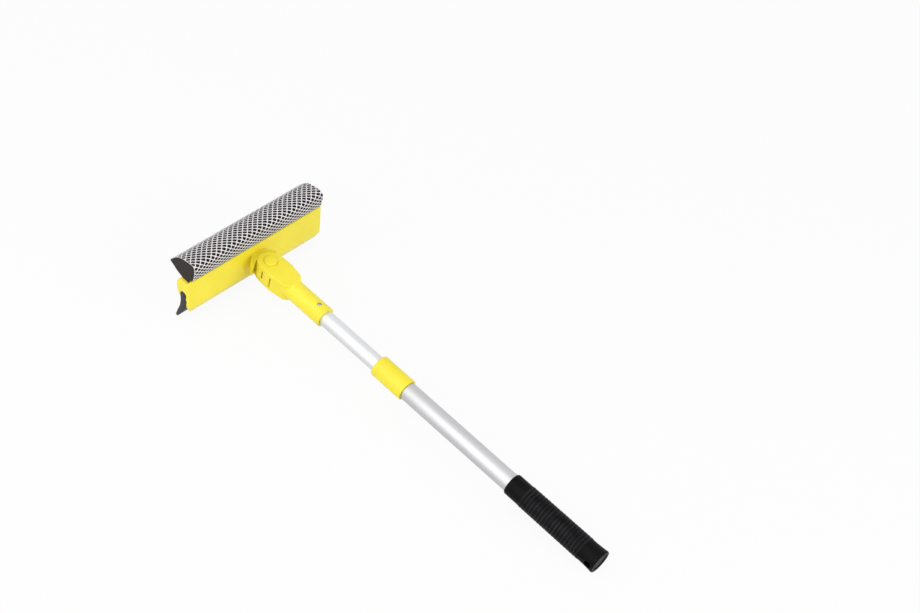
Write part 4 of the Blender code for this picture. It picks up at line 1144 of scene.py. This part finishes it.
def swivel_screw(finish):
    profile = [
        (PIVOT_SCREW_HEAD_BOTTOM_Z, PIVOT_SCREW_HEAD_RADIUS),
        (PIVOT_SCREW_HEAD_TOP_Z, PIVOT_SCREW_HEAD_RADIUS),
        (PIVOT_SCREW_HEAD_TOP_Z, PIVOT_SCREW_RADIUS),
        (PIVOT_SCREW_TIP_Z, PIVOT_SCREW_RADIUS),
    ]
    screw = turned("swivel_screw", profile, PIVOT, UP, SMALL_ROUND_STEPS)
    ease_sharp_edges(screw, THIN_EDGE_ROUND, 2)
    cut_cross(screw, PIVOT_SCREW_HEAD_RADIUS, PIVOT_SCREW_HEAD_BOTTOM_Z, 1, Vector())
    return finish_piece(screw, "button", finish, "zinc_steel", "pivot_screw")


# Pole

def tube(name, radius, start, end):
    inner = radius - TUBE_WALL
    profile = [(start, inner), (start, radius), (end, radius), (end, inner), (start, inner)]
    piece = turned(name, profile, PIVOT, TOWARDS_GRIP, closed=True)
    ease_sharp_edges(piece, THIN_EDGE_ROUND, 2)
    return piece


def inner_pipe(finish):
    pipe = tube("inner_pipe", INNER_TUBE_RADIUS, INNER_TUBE_START_BACK, INNER_TUBE_END_BACK)
    return finish_piece(pipe, "inner_pole", finish, "satin_aluminium", "inner_tube")


def outer_pipe(finish):
    pipe = tube("outer_pipe", OUTER_TUBE_RADIUS, OUTER_TUBE_START_BACK, OUTER_TUBE_END_BACK)
    return finish_piece(pipe, "pole", finish, "satin_aluminium", "outer_tube")


def mouth_collar(finish):
    lip_bore, tube_bore = INNER_TUBE_RADIUS + SNUG, OUTER_TUBE_RADIUS + SNUG
    start, end = COLLAR_START_BACK, COLLAR_END_BACK
    lip_end = start + COLLAR_LIP_LENGTH
    profile = [
        (start, lip_bore), (start, COLLAR_RADIUS), (end, COLLAR_RADIUS), (end, tube_bore),
        (lip_end, tube_bore), (lip_end, lip_bore), (start, lip_bore),
    ]
    ring = turned("mouth_collar", profile, PIVOT, TOWARDS_GRIP, closed=True)
    ease_sharp_edges(ring, COLLAR_EDGE_ROUND)
    return finish_piece(ring, "pole", finish, "yellow_plastic", "collar")


def grip_radius(back):
    """The grip's outer radius without its ribs: it swells a little and flares at its end."""
    flare_start = GRIP_END_BACK - GRIP_FLARE_LENGTH
    if back > flare_start:
        share = (back - flare_start) / GRIP_FLARE_LENGTH
        return GRIP_BODY_RADIUS + (GRIP_END_RADIUS - GRIP_BODY_RADIUS) * share ** 2
    share = (back - GRIP_START_BACK) / (flare_start - GRIP_START_BACK)
    return GRIP_START_RADIUS + (GRIP_BODY_RADIUS - GRIP_START_RADIUS) * share


def rib_height(back):
    """A rounded crest on each rib and a narrow valley between two."""
    turns = (back - GRIP_RIB_START_BACK) / GRIP_RIB_PITCH
    if not 0 <= turns <= GRIP_RIB_COUNT:
        return 0
    return GRIP_RIB_HEIGHT * math.sin(math.pi * (turns % 1)) ** GRIP_RIB_FULLNESS


def edge_drop(back):
    """How far the radius falls within the rounding at either end."""
    near = max(0, min(back - GRIP_START_BACK, GRIP_END_BACK - back))
    if near >= GRIP_EDGE_ROUND:
        return 0
    return GRIP_EDGE_ROUND - math.sqrt(GRIP_EDGE_ROUND ** 2 - (GRIP_EDGE_ROUND - near) ** 2)


def ringed_sleeve():
    """An open tube with enough rings to shape the ribs."""
    length = GRIP_END_BACK - GRIP_START_BACK
    rings = round(length / GRIP_RIB_PITCH * RINGS_PER_RIB)
    pick_nothing()
    bpy.ops.mesh.primitive_cylinder_add(
        vertices=ROUND_STEPS, radius=GRIP_BODY_RADIUS, depth=length, end_fill_type="NOTHING",
        location=at(0, -(GRIP_START_BACK + GRIP_END_BACK) / 2, 0), rotation=(math.pi / 2, 0, 0),
    )
    sleeve = bpy.context.object
    sleeve.name = "grip_sleeve"
    bpy.ops.object.transform_apply(location=True, rotation=True, scale=True)
    edit(sleeve, "EDGE")
    select_where(sleeve, "edges", lambda edge: abs((edge.verts[0].co - edge.verts[1].co).y) > length / 2)
    bpy.ops.mesh.subdivide(number_cuts=rings - 1)
    leave_edit()
    return sleeve


def grip_sleeve(finish):
    """The sleeve with its ribs and flare, a bore closed by the end wall, and the hanging hole."""
    grip = ringed_sleeve()
    for vertex in grip.data.vertices:
        back = PIVOT.y - vertex.co.y
        radius = grip_radius(back) + rib_height(back) - edge_drop(back)
        share = radius / GRIP_BODY_RADIUS
        vertex.co.x *= share
        vertex.co.z = PIVOT.z + (vertex.co.z - PIVOT.z) * share
    bore = OUTER_TUBE_RADIUS + FIT
    closing = bore * GRIP_BORE_CLOSING_SHARE
    start = [(GRIP_START_BACK, bore), (GRIP_BORE_END_BACK, bore), (GRIP_BORE_END_BACK, closing)]
    rim = GRIP_DISH_RADIUS
    end = [(GRIP_END_BACK, rim), (GRIP_END_BACK - GRIP_DISH_DEPTH, rim - GRIP_DISH_DEPTH)]
    close_mouth(grip, GRIP_START_BACK, start)
    close_mouth(grip, GRIP_END_BACK, end)
    make_consistent(grip)
    cut_hang_hole(grip)
    return finish_piece(grip, "pole", finish, "black_rubber", "grip")


def close_mouth(grip, back, profile):
    """Draws the ring at one end of the grip inwards along a profile and fills it."""
    edit(grip)
    edge_y = PIVOT.y - back
    select_where(grip, "verts", lambda vertex: abs(vertex.co.y - edge_y) < MERGE_DISTANCE)
    radius = grip_radius(back) - GRIP_EDGE_ROUND
    before = back
    for place, next_radius in profile:
        bpy.ops.mesh.extrude_region_move(TRANSFORM_OT_translate={"value": TOWARDS_GRIP * (place - before)})
        share = next_radius / radius
        bpy.ops.transform.resize(value=(share, share, share), center_override=at(0, -place, 0))
        before, radius = place, next_radius
    bpy.ops.mesh.edge_face_add()
    leave_edit()


def cut_hang_hole(grip):
    """A hole across the grip that widens where it leaves the rubber."""
    reach = GRIP_END_RADIUS + OVERRUN
    narrow = grip_radius(HANG_HOLE_BACK) - HANG_HOLE_FLARE
    wide = HANG_HOLE_RADIUS + reach - narrow
    profile = [(-reach, wide), (-narrow, HANG_HOLE_RADIUS), (narrow, HANG_HOLE_RADIUS), (reach, wide)]
    carve(grip, turned("hang_hole", profile, at(0, -HANG_HOLE_BACK, 0), SIDEWAYS, SMALL_ROUND_STEPS))


# Studio

def camera():
    bpy.ops.object.camera_add()
    eye = bpy.context.object
    eye.name = "photo_camera"
    backward = CAMERA_RIGHT.cross(CAMERA_UP)
    turn = Matrix((CAMERA_RIGHT, CAMERA_UP, backward)).transposed().to_4x4()
    eye.matrix_world = Matrix.Translation(PIVOT + CAMERA_PLACE) @ turn
    eye.data.sensor_width = CAMERA_SENSOR_MM
    eye.data.lens = CAMERA_LENS_MM
    eye.data.clip_end = CAMERA_REACH
    bpy.context.scene.camera = eye


def floor():
    """A plane that the blade's tip and the grip's end rest on."""
    blade_y = PIVOT.y + BLADE_REST_Y
    blade_z = PIVOT.z + BLADE_TIP_Z
    grip_y = PIVOT.y - GRIP_END_BACK
    grip_z = PIVOT.z - GRIP_END_RADIUS
    tilt = math.atan2(blade_z - grip_z, blade_y - grip_y)
    pick_nothing()
    bpy.ops.mesh.primitive_plane_add(size=FLOOR_SIZE, location=(0, blade_y, blade_z), rotation=(tilt, 0, 0))
    ground = bpy.context.object
    ground.name = "studio_floor"
    ground.data.materials.append(floor_paint())


def background_seen(nodes):
    """1 for rays that see the background: from the camera, in a reflection or through glass."""
    rays = ("Is Camera Ray", "Is Glossy Ray", "Is Transmission Ray")
    straight, mirrored, through = (nodes.add("LightPath", {}, output=ray) for ray in rays)
    return straight + mirrored + through


def end_with_blend(nodes, output, share, shader, background):
    """Ends a tree with its own shader, blended with the background's."""
    blend = nodes.add("MixShader", {0: share, 1: Value(nodes, shader.outputs[0]), 2: background})
    nodes.tree.links.new(blend.socket, nodes.tree.nodes[output].inputs["Surface"])


def floor_paint():
    """White paint that keeps the object's shadow, lifted to the background's white where it is seen."""
    paint = Finish("floor_paint", Base_Color=FLOOR_COLOUR, Roughness=0.9, Specular_IOR_Level=0.0)
    glow = paint.add("Emission", {"Strength": 1.0})
    share = background_seen(paint) * FLOOR_GLOW_SHARE
    end_with_blend(paint, "Material Output", share, paint.shader, glow)
    return paint.material


def world():
    """White where it is seen, and a plain soft light on the object."""
    sky = bpy.data.worlds.new("studio")
    bpy.context.scene.world = sky
    sky.use_nodes = True
    nodes = Nodes(sky.node_tree)
    light = nodes.tree.nodes["Background"]
    light.inputs["Color"].default_value = SKY_COLOUR
    light.inputs["Strength"].default_value = SKY_STRENGTH
    white = nodes.add("Background", {"Color": WHITE})
    end_with_blend(nodes, "World Output", background_seen(nodes), light, white)


def soft_lamp(name, place, target, size, power):
    bpy.ops.object.light_add(type="AREA", location=place)
    lamp = bpy.context.object
    lamp.name = name
    lamp.data.shape = "RECTANGLE"
    lamp.data.size, lamp.data.size_y = size
    lamp.data.energy = power
    lamp.rotation_euler = (Vector(target) - Vector(place)).to_track_quat("-Z", "Y").to_euler()


def lights():
    soft_lamp("key_softbox", place=(-1.09, 0.40, 1.10), target=(0, 0.40, 0.05), size=(1.5, 2.2), power=18.5)
    soft_lamp("fill_softbox", place=(0.6, -1.8, 1.0), target=(0, 0.2, 0.05), size=(1.4, 1.2), power=20.0)


YELLOW = yellow_plastic()
INNER_ALUMINIUM = satin_aluminium("inner_aluminium", INNER_TUBE_DARK, INNER_TUBE_LIGHT)
OUTER_ALUMINIUM = satin_aluminium("outer_aluminium", OUTER_TUBE_DARK, OUTER_TUBE_LIGHT)
RUBBER = grip_rubber()
BLADE = blade_rubber()
FOAM = dark_foam()
YARN = net_yarn()
STEEL = zinc_steel()
GREY = grey_plastic()

CARRIED_OVER = {
    "button_spring": STEEL, "pivot_washer": STEEL, "cam_pin": STEEL, "cam_washer": STEEL, "cam_screw": STEEL,
    "cam_plug": GREY, "tube_end_plug": GREY, "lock_cam": RUBBER,
}

for name, finish in CARRIED_OVER.items():
    node = frame["nodes"][name]
    node.data.materials.clear()
    node.data.materials.append(finish)

head_moulding(YELLOW)
blade_strip(BLADE)
foam_piece = foam_block(FOAM)
yarn_net(YARN)
knuckle_moulding(YELLOW)
push_button(YELLOW)
socket_cross_screw(STEEL)
swivel_plug(GREY)
swivel_screw(STEEL)
inner_pipe(INNER_ALUMINIUM)
outer_pipe(OUTER_ALUMINIUM)
mouth_collar(YELLOW)
grip_sleeve(RUBBER)

camera()
floor()
world()
lights()
bpy.context.scene.view_settings.view_transform = "Standard"
